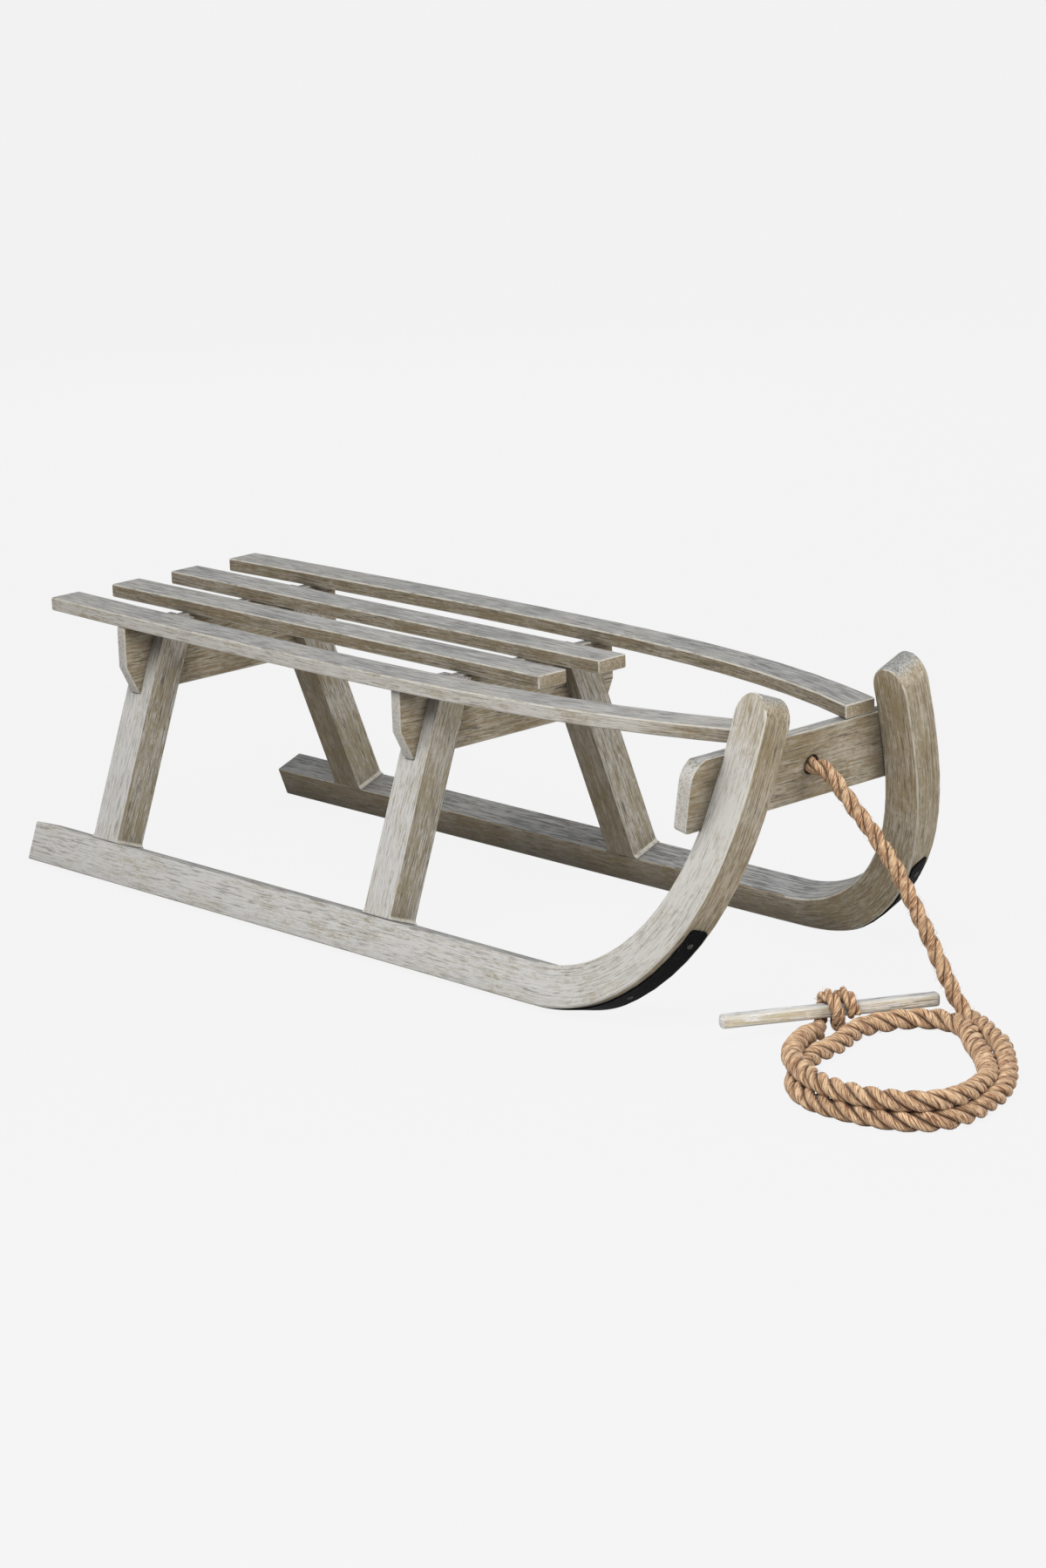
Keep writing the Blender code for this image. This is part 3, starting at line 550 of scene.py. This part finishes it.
def laid_rope(bm, line, thickness, lay_length, sides=12, step=0.0026, start=0.0):
    """Lays three strands round a middle line, right-handed; thickness(share) gives the rope's own."""
    yarn = bm.verts.layers.float_vector.get("yarn") or bm.verts.layers.float_vector.new("yarn")
    length = way_along(line)
    count = max(int(length / step), 8)
    points = evenly(line, count)
    across = Vector((0, 0, 1)).cross(points[1] - points[0])
    across = across if across.length > 1e-6 else Vector((0, 1, 0))
    frames = []
    for i, point in enumerate(points):
        tangent = (points[min(i + 1, count)] - points[max(i - 1, 0)]).normalized()
        across = (across - tangent * across.dot(tangent)).normalized()
        frames.append((point, tangent, across.copy(), tangent.cross(across)))
    for strand in range(3):
        ring = bmesh.ops.create_circle(bm, cap_ends=False, segments=sides, radius=0.001)["verts"]
        first = ring
        for i, (point, tangent, one, other) in enumerate(frames):
            if i:
                edges = [edge for edge in set(e for vert in ring for e in vert.link_edges)
                         if all(vert in ring for vert in edge.verts)]
                grown = bmesh.ops.extrude_edge_only(bm, edges=edges)["geom"]
                following = {}
                for new in grown:
                    if isinstance(new, bmesh.types.BMVert):
                        for edge in new.link_edges:
                            if edge.other_vert(new) in ring:
                                following[edge.other_vert(new)] = new
                ring = [following[vert] for vert in ring]
            way = length * i / count
            whole = thickness(i / count)
            radius = whole * 0.24
            turn = 2 * math.pi * ((way + start) / lay_length + strand / 3)
            outward = one * math.cos(turn) + other * math.sin(turn)
            sideways = other * math.cos(turn) - one * math.sin(turn)
            offset = whole / 2 - radius
            onward = (tangent + sideways * (2 * math.pi * offset / lay_length)).normalized()
            round_way = onward.cross(outward).normalized()
            middle = point + outward * offset
            for k, vert in enumerate(ring):
                phi = 2 * math.pi * k / sides
                uneven = 1.0 + 0.09 * noise.noise(Vector((way * 90, phi * 0.8, strand * 7.3 + start)))
                vert.co = middle + (round_way * math.sin(phi) - outward * math.cos(phi)) * radius * uneven
                vert[yarn] = (way + start, (phi - math.pi) * radius, strand * 0.05 + start)
        for end in (first, ring):
            bmesh.ops.contextual_create(bm, geom=end)


def fibre_hairs(bm, line, thickness, amount, seed):
    """Loose hairs that stand a little off the rope, each a thin tapering sliver."""
    chance = random.Random(seed)
    yarn = bm.verts.layers.float_vector.get("yarn") or bm.verts.layers.float_vector.new("yarn")
    for number in range(amount):
        i = chance.randrange(1, len(line) - 2)
        onward = (line[i + 1] - line[i - 1]).normalized()
        side = onward.orthogonal().normalized()
        side.rotate(Matrix.Rotation(chance.uniform(0, 2 * math.pi), 3, onward))
        root = line[i].lerp(line[i + 1], chance.random()) + side * thickness * 0.44
        lean = onward * chance.uniform(-1.0, 1.0) + onward.cross(side) * chance.uniform(-0.8, 0.8)
        length = chance.uniform(0.002, 0.0065)
        middle = root + (lean * 0.5 + side * 0.28) * length
        tip = root + (lean + side * chance.uniform(0.15, 0.42)) * length
        if min(root.z, middle.z, tip.z) < 0.0004:
            continue
        width = side.cross(lean).normalized() * chance.uniform(0.00007, 0.00013)
        flat = side * width.length
        rings = [[place + width * size, place - width * size, place + flat * size]
                 for place, size in ((root, 1.0), (middle, 0.8))]
        verts = [[bm.verts.new(corner) for corner in ring] for ring in rings]
        point = bm.verts.new(tip)
        for k in range(3):
            bm.faces.new((verts[0][k], verts[0][(k + 1) % 3], verts[1][(k + 1) % 3], verts[1][k]))
            bm.faces.new((verts[1][k], verts[1][(k + 1) % 3], point))
        bm.faces.new(verts[0][::-1])
        for vert in verts[0] + verts[1] + [point]:
            vert[yarn] = (number * 0.013, 0.0, 0.5)


def rope_material(settings):
    """Straw and rust coloured fibre, with the yarns of each strand nearly in line with the rope, and painted shade
    between the strands and where the rope lies close to things.
    """
    material, tree, shader = new_material("laid_rope")
    lay = attribute_vector(tree, "yarn")
    parts = add_node(tree, "ShaderNodeSeparateXYZ", {"Vector": lay})
    slanted = calculate(tree, "ADD", parts.outputs["Y"], calculate(tree, "MULTIPLY", parts.outputs["X"], 0.62))
    turned = add_node(tree, "ShaderNodeCombineXYZ", {
        "X": parts.outputs["X"], "Y": slanted, "Z": parts.outputs["Z"]}).outputs["Vector"]
    yarns = stretched_noise(tree, turned, (0.009, 0.0019, 0.02), 2.0, 0.55)
    threads = stretched_noise(tree, turned, (0.006, 0.0007, 0.02), 2.0, 0.6, 4.0)
    flecks = stretched_noise(tree, turned, (0.0055, 0.0016, 0.02), 2.0, 0.6, 13.0)
    patches = stretched_noise(tree, turned, (0.025, 0.006, 0.03), 3.0, 0.6, 9.0)
    # Painted shade between the strands: the colour deepens towards each strand's sides, where it meets the next one
    depth = calculate(tree, "ABSOLUTE", parts.outputs["Y"])
    painted_groove_shade = between(tree, depth, 0.0036, 0.0066)
    colour = blend(tree, between(tree, yarns, 0.40, 0.57), tuple(settings.rust), tuple(settings.straw))
    colour = blend(tree, calculate(tree, "MULTIPLY", between(tree, patches, 0.45, 0.60), 0.6), colour,
                   tuple(settings.rust))
    pale = tuple(min(part * 1.5 + 0.05, 1.0) for part in settings.straw)
    colour = blend(tree, calculate(tree, "MULTIPLY", between(tree, threads, 0.50, 0.60), 0.8), colour, pale)
    # The deepest fibre colour, for the real flecks and for the painted shade
    dark_fleck_and_shade = tuple(part * 0.35 for part in settings.rust)
    colour = blend(tree, calculate(tree, "MULTIPLY", between(tree, flecks, 0.55, 0.66), 0.85), colour, dark_fleck_and_shade)
    # Painted shade where the rope lies close to itself, the sled and the ground, added to the shade between the strands
    painted_groove_shade = calculate(tree, "MAXIMUM", painted_groove_shade, painted_corner_shade(tree, 0.006, 0.15, 0.75))
    colour = blend(tree, calculate(tree, "MULTIPLY", painted_groove_shade, 0.85), colour, dark_fleck_and_shade)
    tree.links.new(colour, shader.inputs["Base Color"])
    shader.inputs["Roughness"].default_value = 0.92
    shader.inputs["Sheen Weight"].default_value = 0.12
    shader.inputs["Specular IOR Level"].default_value = 0.25
    height = calculate(tree, "ADD", calculate(tree, "MULTIPLY", yarns, 0.7), calculate(tree, "MULTIPLY", threads, 0.4))
    raise_surface(tree, shader, height, 0.0013)
    return material


def wood_material(settings, name="limewashed_wood", paleness=1.0, corners=0.03):
    """Brushed and limewashed wood: pale wash over grey-brown grain, worn through on the edges, which also carry a
    painted highlight; a khaki tint with painted shade on the faces that look neither up nor out, and painted shade in
    the corners, out to the distance given as corners.
    """
    material, tree, shader = new_material(name)
    grain = attribute_vector(tree, "grain")
    lime, wood, weathered = (tuple(min(part * paleness, 0.9) for part in colour)
                             for colour in (settings.lime, settings.wood, settings.weathered))
    long, wide = settings.streak_length, settings.streak_width
    streaks = stretched_noise(tree, grain, (long, wide, wide), 4.0, 0.62)
    fine = stretched_noise(tree, grain, (long * 0.6, wide * 0.75, wide * 0.75), 2.0, 0.6, 3.0)
    bands = stretched_noise(tree, grain, (long * 3, wide * 6, wide * 6), 3.0, 0.6, 7.0)
    brushed = stretched_noise(tree, grain, (long * 0.35, wide * 3.0, wide * 3.0), 5.0, 0.62, 11.0, 1.6)
    place = add_node(tree, "ShaderNodeTexCoord", {}).outputs["Object"]
    blotches = stretched_noise(tree, place, (0.05, 0.05, 0.05), 4.0, 0.6, 2.0)
    facing = add_node(tree, "ShaderNodeSeparateXYZ", {
        "Vector": add_node(tree, "ShaderNodeNewGeometry", {}).outputs["Normal"]})
    spot = add_node(tree, "ShaderNodeSeparateXYZ", {"Vector": place})
    # Faces that look out from the middle or up: paler, with less of the khaki tint and the painted shade
    outwards = between(tree, calculate(tree, "MULTIPLY", facing.outputs["Y"], spot.outputs["Y"]), 0.055, 0.10)
    upwards = between(tree, facing.outputs["Z"], 0.35, 0.95)
    washed = calculate(tree, "MAXIMUM", outwards, upwards)

    cover = calculate(tree, "ADD", calculate(tree, "MULTIPLY", streaks, 0.50), calculate(tree, "MULTIPLY", bands, 0.16))
    cover = calculate(tree, "ADD", cover, calculate(tree, "MULTIPLY", brushed, 0.34))
    cover = calculate(tree, "ADD", cover, calculate(tree, "MULTIPLY", calculate(tree, "SUBTRACT", blotches, 0.5), 0.30))
    cover = calculate(tree, "ADD", cover, calculate(tree, "MULTIPLY", washed, 0.10))
    colour = blend(tree, between(tree, cover, 0.41, 0.63), wood, lime)
    tops = blend(tree, between(tree, streaks, 0.36, 0.62), tuple(part * 0.50 for part in weathered),
                 tuple(part * 1.5 for part in weathered))
    cool = add_node(tree, "ShaderNodeMapRange", {
        "Value": blotches, "From Min": 0.38, "From Max": 0.62, "To Min": 0.62, "To Max": 1.0}).outputs["Result"]
    colour = blend(tree, calculate(tree, "MULTIPLY", upwards, cool), colour, tops)
    held = add_node(tree, "ShaderNodeMapRange", {"Value": washed, "To Min": 1.0, "To Max": 0.2}).outputs["Result"]
    aged_tint_and_shade = add_node(tree, "ShaderNodeAttribute", {}, attribute_name="aged_tint_and_shade").outputs["Fac"]
    # The khaki tint, thin wash and painted warm shade, held off the faces that look up or out
    colour = blend(tree, calculate(tree, "MULTIPLY", aged_tint_and_shade, held), colour, tuple(settings.aged_tint_and_shade), "MULTIPLY")
    # Painted shade on the slats' sides and the inward faces, from the share over 1
    painted_shade_share = calculate(tree, "MULTIPLY", calculate(tree, "SUBTRACT", aged_tint_and_shade, 1.0), held)
    colour = blend(tree, painted_shade_share, colour, tuple(settings.painted_shade_tint), "MULTIPLY")
    pores = calculate(tree, "MULTIPLY", between(tree, fine, 0.53, 0.66), between(tree, bands, 0.28, 0.56))
    pores = calculate(tree, "MULTIPLY", pores, add_node(tree, "ShaderNodeMapRange", {
        "Value": outwards, "To Min": 0.8, "To Max": 0.5}).outputs["Result"])
    colour = blend(tree, pores, colour, tuple(settings.grain))
    # Painted shade: the corners and joints darkened towards the grain colour
    colour = blend(tree, calculate(tree, "MULTIPLY", painted_corner_shade(tree, corners, 0.25, 0.95), 0.75), colour,
                   tuple(settings.grain))
    # The eased edges paled in patches: wear, and a painted highlight
    rubbed_and_highlight = add_node(tree, "ShaderNodeAttribute", {}, attribute_name="rubbed_and_highlight").outputs["Fac"]
    patchy = between(tree, stretched_noise(tree, grain, (0.012, 0.004, 0.004), 3.0, 0.6, 5.0), 0.22, 0.55)
    colour = blend(tree, calculate(tree, "MULTIPLY", calculate(tree, "MULTIPLY", rubbed_and_highlight, patchy), 0.8), colour,
                   tuple(settings.rubbed_and_highlight))
    tree.links.new(colour, shader.inputs["Base Color"])
    roughness = add_node(tree, "ShaderNodeMapRange", {"Value": streaks, "To Min": 0.62, "To Max": 0.88})
    tree.links.new(roughness.outputs["Result"], shader.inputs["Roughness"])
    shader.inputs["Specular IOR Level"].default_value = 0.35
    height = calculate(tree, "SUBTRACT", calculate(tree, "MULTIPLY", streaks, 0.8), calculate(tree, "MULTIPLY", fine, 0.6))
    raise_surface(tree, shader, height, settings.relief * 4)
    return material


def bare_wood_material(settings):
    """Clean wood for the hidden dowels."""
    material, tree, shader = new_material("dowel_wood")
    place = add_node(tree, "ShaderNodeTexCoord", {}).outputs["Object"]
    lines = stretched_noise(tree, place, (0.0008, 0.0008, 0.02), 3.0, 0.6)
    tree.links.new(blend(tree, lines, tuple(settings.wood), (0.62, 0.50, 0.33)), shader.inputs["Base Color"])
    shader.inputs["Roughness"].default_value = 0.8
    raise_surface(tree, shader, lines, 0.0002)
    return material


def steel_material(settings, name="black_shoe_steel", wear=0.0):
    """Black finished steel, dull, with fine scratches; wear shows more of the bare metal."""
    material, tree, shader = new_material(name)
    place = add_node(tree, "ShaderNodeTexCoord", {}).outputs["Object"]
    clouds = stretched_noise(tree, place, (0.03, 0.012, 0.03), 4.0, 0.6)
    scratches = stretched_noise(tree, place, (0.05, 0.0006, 0.05), 3.0, 0.7, 6.0)
    specks = stretched_noise(tree, place, (0.002, 0.002, 0.002), 2.0, 0.6, 1.0)
    worn = calculate(tree, "ADD", calculate(tree, "MULTIPLY", between(tree, scratches, 0.62, 0.78), 0.4), wear)
    colour = blend(tree, worn, tuple(settings.black), tuple(settings.bare))
    colour = blend(tree, calculate(tree, "MULTIPLY", between(tree, specks, 0.64, 0.74), 0.35), colour,
                   tuple(settings.bare))
    tree.links.new(colour, shader.inputs["Base Color"])
    shader.inputs["Metallic"].default_value = 0.0
    roughness = add_node(tree, "ShaderNodeMapRange", {"Value": clouds, "To Min": 0.6, "To Max": 0.85})
    tree.links.new(roughness.outputs["Result"], shader.inputs["Roughness"])
    shader.inputs["Specular IOR Level"].default_value = 0.05
    raise_surface(tree, shader, calculate(tree, "ADD", scratches, specks), 0.00015)
    return material


def paper_material(settings):
    """Pale paper, which the camera and reflections see almost evenly lit, with a soft shadow."""
    material, tree, shader = new_material("studio_paper")
    shader.inputs["Base Color"].default_value = (0.52, 0.52, 0.52, 1.0)
    shader.inputs["Roughness"].default_value = 1.0
    place = add_node(tree, "ShaderNodeTexCoord", {}).outputs["Object"]
    raise_surface(tree, shader, stretched_noise(tree, place, (0.01, 0.01, 0.01)), 0.0001, 0.2)
    glow = add_node(tree, "ShaderNodeEmission", {
        "Color": (settings.paper, settings.paper, settings.paper, 1.0), "Strength": 1.0})
    seen = add_node(tree, "ShaderNodeLightPath", {})
    direct = calculate(tree, "MAXIMUM", seen.outputs["Is Camera Ray"],
                       calculate(tree, "MAXIMUM", seen.outputs["Is Glossy Ray"], seen.outputs["Is Transmission Ray"]))
    mixed = tree.nodes.new("ShaderNodeMixShader")
    tree.links.new(calculate(tree, "MULTIPLY", direct, 0.96), mixed.inputs[0])
    tree.links.new(shader.outputs["BSDF"], mixed.inputs[1])
    tree.links.new(glow.outputs["Emission"], mixed.inputs[2])
    tree.links.new(mixed.outputs["Shader"], tree.nodes["Material Output"].inputs["Surface"])
    return material


class SLED_OT_set_stage(bpy.types.Operator):
    """Sets up the camera, the lamps, the pale room and the paper under the sled"""
    bl_idname = "sled.set_stage"
    bl_label = "Stage"

    def execute(self, context):
        settings = context.scene.sled_stage
        heading, tilt, roll = settings.camera_turn
        look = Vector((-math.sin(heading) * math.cos(tilt), math.cos(heading) * math.cos(tilt), -math.sin(tilt)))
        right = Vector((math.cos(heading), math.sin(heading), 0))
        up = right.cross(look)
        rolled = right * math.cos(roll) + up * math.sin(roll)
        turned = Matrix((rolled, rolled.cross(look), -look)).transposed().to_4x4()
        lens = bpy.data.cameras.new("camera")
        lens.lens = settings.lens
        lens.sensor_width = 36.0
        camera = bpy.data.objects.new("camera", lens)
        camera.matrix_world = Matrix.Translation(settings.camera_place) @ turned
        context.scene.collection.objects.link(camera)
        context.scene.camera = camera

        for name, place, size, power in (("key_lamp", (0.75, -1.35, 1.95), 1.6, settings.key_power),
                                         ("fill_lamp", (2.2, 0.7, 0.9), 1.4, settings.fill_power),
                                         ("back_lamp", (-1.9, 1.5, 1.1), 1.6, settings.back_power)):
            lamp = bpy.data.lights.new(name, "AREA")
            lamp.shape = "DISK"
            lamp.size = size
            lamp.energy = power
            holder = bpy.data.objects.new(name, lamp)
            aim = Vector((0.05, 0, 0.08)) - Vector(place)
            holder.matrix_world = Matrix.Translation(place) @ aim.to_track_quat("-Z", "Y").to_matrix().to_4x4()
            context.scene.collection.objects.link(holder)

        world = bpy.data.worlds.new("pale_room")
        context.scene.world = world
        world.use_nodes = True
        tree = world.node_tree
        seen = add_node(tree, "ShaderNodeLightPath", {})
        direct = calculate(tree, "MAXIMUM", seen.outputs["Is Camera Ray"],
                           calculate(tree, "MAXIMUM", seen.outputs["Is Glossy Ray"],
                                     seen.outputs["Is Transmission Ray"]))
        strength = add_node(tree, "ShaderNodeMapRange", {
            "Value": direct, "To Min": settings.room, "To Max": 0.9})
        room = tree.nodes["Background"]
        room.inputs["Color"].default_value = (1.0, 1.0, 1.0, 1.0)
        tree.links.new(strength.outputs["Result"], room.inputs["Strength"])

        bm = bmesh.new()
        bmesh.ops.create_grid(bm, x_segments=1, y_segments=1, size=30.0)
        mesh = bpy.data.meshes.new("paper")
        bm.to_mesh(mesh)
        bm.free()
        mesh.materials.append(paper_material(settings))
        paper = bpy.data.objects.new("paper", mesh)
        context.scene.collection.objects.link(paper)
        context.scene.view_settings.view_transform = "Standard"
        return {"FINISHED"}


class SLED_OT_lay_rope(bpy.types.Operator):
    """Lays the three-strand pull rope, with its hitch on the toggle and the knot behind the board"""
    bl_idname = "sled.lay_rope"
    bl_label = "Pull rope"

    def execute(self, context):
        settings = context.scene.sled_rope
        material = rope_material(settings)
        line, hitch = rope_lines(settings.hitch_diameter)
        thick, thin = settings.diameter, settings.hitch_diameter

        bm = bmesh.new()
        whole = line + hitch[1:2]
        fuller = thick * 0.25

        def fullness(share):
            """The rope is slacker, and so a little fuller, where it lies on the ground."""
            slack = thick * 0.97 + fuller * smoothstep((share - 0.17) / 0.06)
            return slack - (slack - thin) * smoothstep((share - 0.985) / 0.015)

        laid_rope(bm, whole, fullness, settings.lay_length)
        for face in bm.faces:
            face.smooth = True
        rope = keep_piece(bm, "laid_rope", material, ("rope_lead", "rope_coil"))

        bm = bmesh.new()
        laid_rope(bm, hitch[1:], lambda share: thin, settings.lay_length * 0.85, start=way_along(whole))
        for face in bm.faces:
            face.smooth = True
        tied = keep_piece(bm, "toggle_hitch", material, ("rope_hitch",))

        bm = bmesh.new()
        place = board_frame() @ Matrix.Translation((-0.0242, 0, 0)) @ Matrix.Rotation(math.pi / 2, 4, "Y")
        loops = []
        for i in range(61):
            t = 2 * math.pi * i / 60 + 0.4
            loops.append(place @ Vector((0.0030 * (math.sin(t) + 2 * math.sin(2 * t)),
                                         0.0030 * (math.cos(t) - 2 * math.cos(2 * t)),
                                         -0.0056 * math.sin(3 * t))))
        laid_rope(bm, loops, lambda share: thin * 0.86, settings.lay_length * 0.75, start=2.0)
        for face in bm.faces:
            face.smooth = True
        knot = keep_piece(bm, "stopper_knot", material, ("rope_stopper_knot",))

        bm = bmesh.new()
        fibre_hairs(bm, evenly(whole, 500), thick, settings.fibres, 11)
        fibre_hairs(bm, evenly(hitch[1:], 100), thin, settings.fibres // 12, 12)
        hairs = keep_piece(bm, "rope_fibres", material, ())

        [tuple(point) for point in evenly(whole, 300)]
        return {"FINISHED"}


class SLED_OT_finish_wood(bpy.types.Operator):
    """Limewashes the slats, legs, boards, runners and toggle, and leaves the dowels bare"""
    bl_idname = "sled.finish_wood"
    bl_label = "Limewashed wood"

    def execute(self, context):
        settings = context.scene.sled_wood
        material = wood_material(settings)
        pale = wood_material(settings, "whitewashed_toggle", 1.9, 0.003)
        bare = bare_wood_material(settings)
        wooden = sorted(node for node in frame["nodes"] if node.startswith(tuple(GRAINS)))
        for number, node in enumerate(wooden):
            wooden_piece(node, number, pale if node == "toggle" else material)
        for node in frame["nodes"]:
            if node.startswith("dowel"):
                for slot in bpy.data.objects[node].material_slots:
                    slot.material = bare
        return {"FINISHED"}


class SLED_OT_fit_shoes(bpy.types.Operator):
    """Fits the black steel shoes with rounded ends and countersunk screws"""
    bl_idname = "sled.fit_shoes"
    bl_label = "Steel shoes"

    def execute(self, context):
        settings = context.scene.sled_steel
        material = steel_material(settings)
        screw_material = steel_material(settings, "worn_screw_steel", 0.45)
        for side_name, side in SIDES:
            node = "shoe_" + side_name
            bm = merged_copy(node)
            low = min(vert.co.x for vert in bm.verts)
            high = max(vert.co.z for vert in bm.verts)
            corners = [edge for edge in bm.edges if edge.calc_length() < 0.002 and
                       all(vert.co.x < low + 0.001 or vert.co.z > high - 0.009 for vert in edge.verts)]
            bmesh.ops.bevel(bm, geom=corners, offset=settings.corner, offset_type="OFFSET", affect="EDGES",
                            segments=4, profile=0.5, material=-1, clamp_overlap=True)
            for face in bm.faces:
                face.smooth = True
            for edge in bm.edges:
                edge.smooth = edge.calc_face_angle(math.pi) < math.radians(40)
            keep_piece(bm, "steel_" + node, material, (node,))

            bm = bmesh.new()
            for arc in (0.03, 0.18, 0.33, 0.48, 0.62, 0.711, 0.781):
                x, t, slope, way = min(UNDERSIDE, key=lambda station: abs(station[3] - arc))
                inner = SHOE_OUTER_MARGIN + SHOE_WIDTH / 2
                slant = math.tan(CANT - math.radians(7.5)) * (1 - smoothstep((way - BEND_START) / 0.08))
                rise = inner * slant - 0.0015 * math.hypot(1.0, slant)
                middle = canted_place(x - rise * math.sin(slope), t + rise * math.cos(slope), inner, side)
                across = (canted_place(x, t, inner + 0.001, side) - canted_place(x, t, inner - 0.001, side))
                across += Vector((0, 0, math.cos(CANT))) * 0.002 * slant
                onward = canted_place(x + 0.001 * math.cos(slope), t + 0.001 * math.sin(slope), inner, side)
                onward = (onward - canted_place(x, t, inner, side)).normalized()
                out = across.normalized().cross(onward).normalized()
                out = -out if out.z > 0.2 or (abs(out.z) <= 0.2 and out.x < 0) else out
                across = onward.cross(out)
                turned = Matrix((across, onward, out)).transposed().to_4x4()
                self.add_screw(bm, Matrix.Translation(middle) @ turned, settings.screw_diameter)
            keep_piece(bm, "screws_" + side_name, screw_material, ())
        return {"FINISHED"}

    @staticmethod
    def add_screw(bm, placement, diameter):
        """A low tapered head with a shallow round recess."""
        head = bmesh.ops.create_cone(bm, cap_ends=True, segments=24, radius1=diameter / 2,
                                     radius2=diameter * 0.40, depth=0.0006,
                                     matrix=placement @ Matrix.Translation((0, 0, 0.0001)))["verts"]
        top = max((face for vert in head for face in vert.link_faces),
                  key=lambda face: (placement.inverted() @ face.calc_center_median()).z)
        grown = bmesh.ops.inset_region(bm, faces=[top], thickness=diameter * 0.16, use_even_offset=True)
        bmesh.ops.inset_region(bm, faces=[top], thickness=diameter * 0.05, depth=-0.0003, use_even_offset=True)
        return grown


class SLED_PT_sidebar(bpy.types.Panel):
    """Lists the sled's pieces and their settings"""
    bl_label = "Slatted Sled"
    bl_idname = "SLED_PT_sidebar"
    bl_space_type = "VIEW_3D"
    bl_region_type = "UI"
    bl_category = "Sled"

    def draw(self, context):
        for operator, name in ((SLED_OT_set_stage, "sled_stage"), (SLED_OT_lay_rope, "sled_rope"),
                               (SLED_OT_finish_wood, "sled_wood"), (SLED_OT_fit_shoes, "sled_steel")):
            box = self.layout.box()
            box.operator(operator.bl_idname)
            settings = getattr(context.scene, name)
            for item in settings.__annotations__:
                box.prop(settings, item)


CLASSES = (SledRopeSettings, SledWoodSettings, SledSteelSettings, SledStageSettings, SLED_OT_set_stage,
           SLED_OT_lay_rope, SLED_OT_finish_wood, SLED_OT_fit_shoes, SLED_PT_sidebar)
SETTINGS = {"sled_rope": SledRopeSettings, "sled_wood": SledWoodSettings, "sled_steel": SledSteelSettings,
            "sled_stage": SledStageSettings}


def register():
    for kind in CLASSES:
        bpy.utils.register_class(kind)
    for name, kind in SETTINGS.items():
        setattr(bpy.types.Scene, name, bpy.props.PointerProperty(type=kind))


def unregister():
    for name in SETTINGS:
        delattr(bpy.types.Scene, name)
    for kind in reversed(CLASSES):
        bpy.utils.unregister_class(kind)


def main():
    register()
    bpy.ops.sled.set_stage()
    bpy.ops.sled.lay_rope()
    bpy.ops.sled.finish_wood()
    bpy.ops.sled.fit_shoes()


if __name__ == "__main__":
    main()
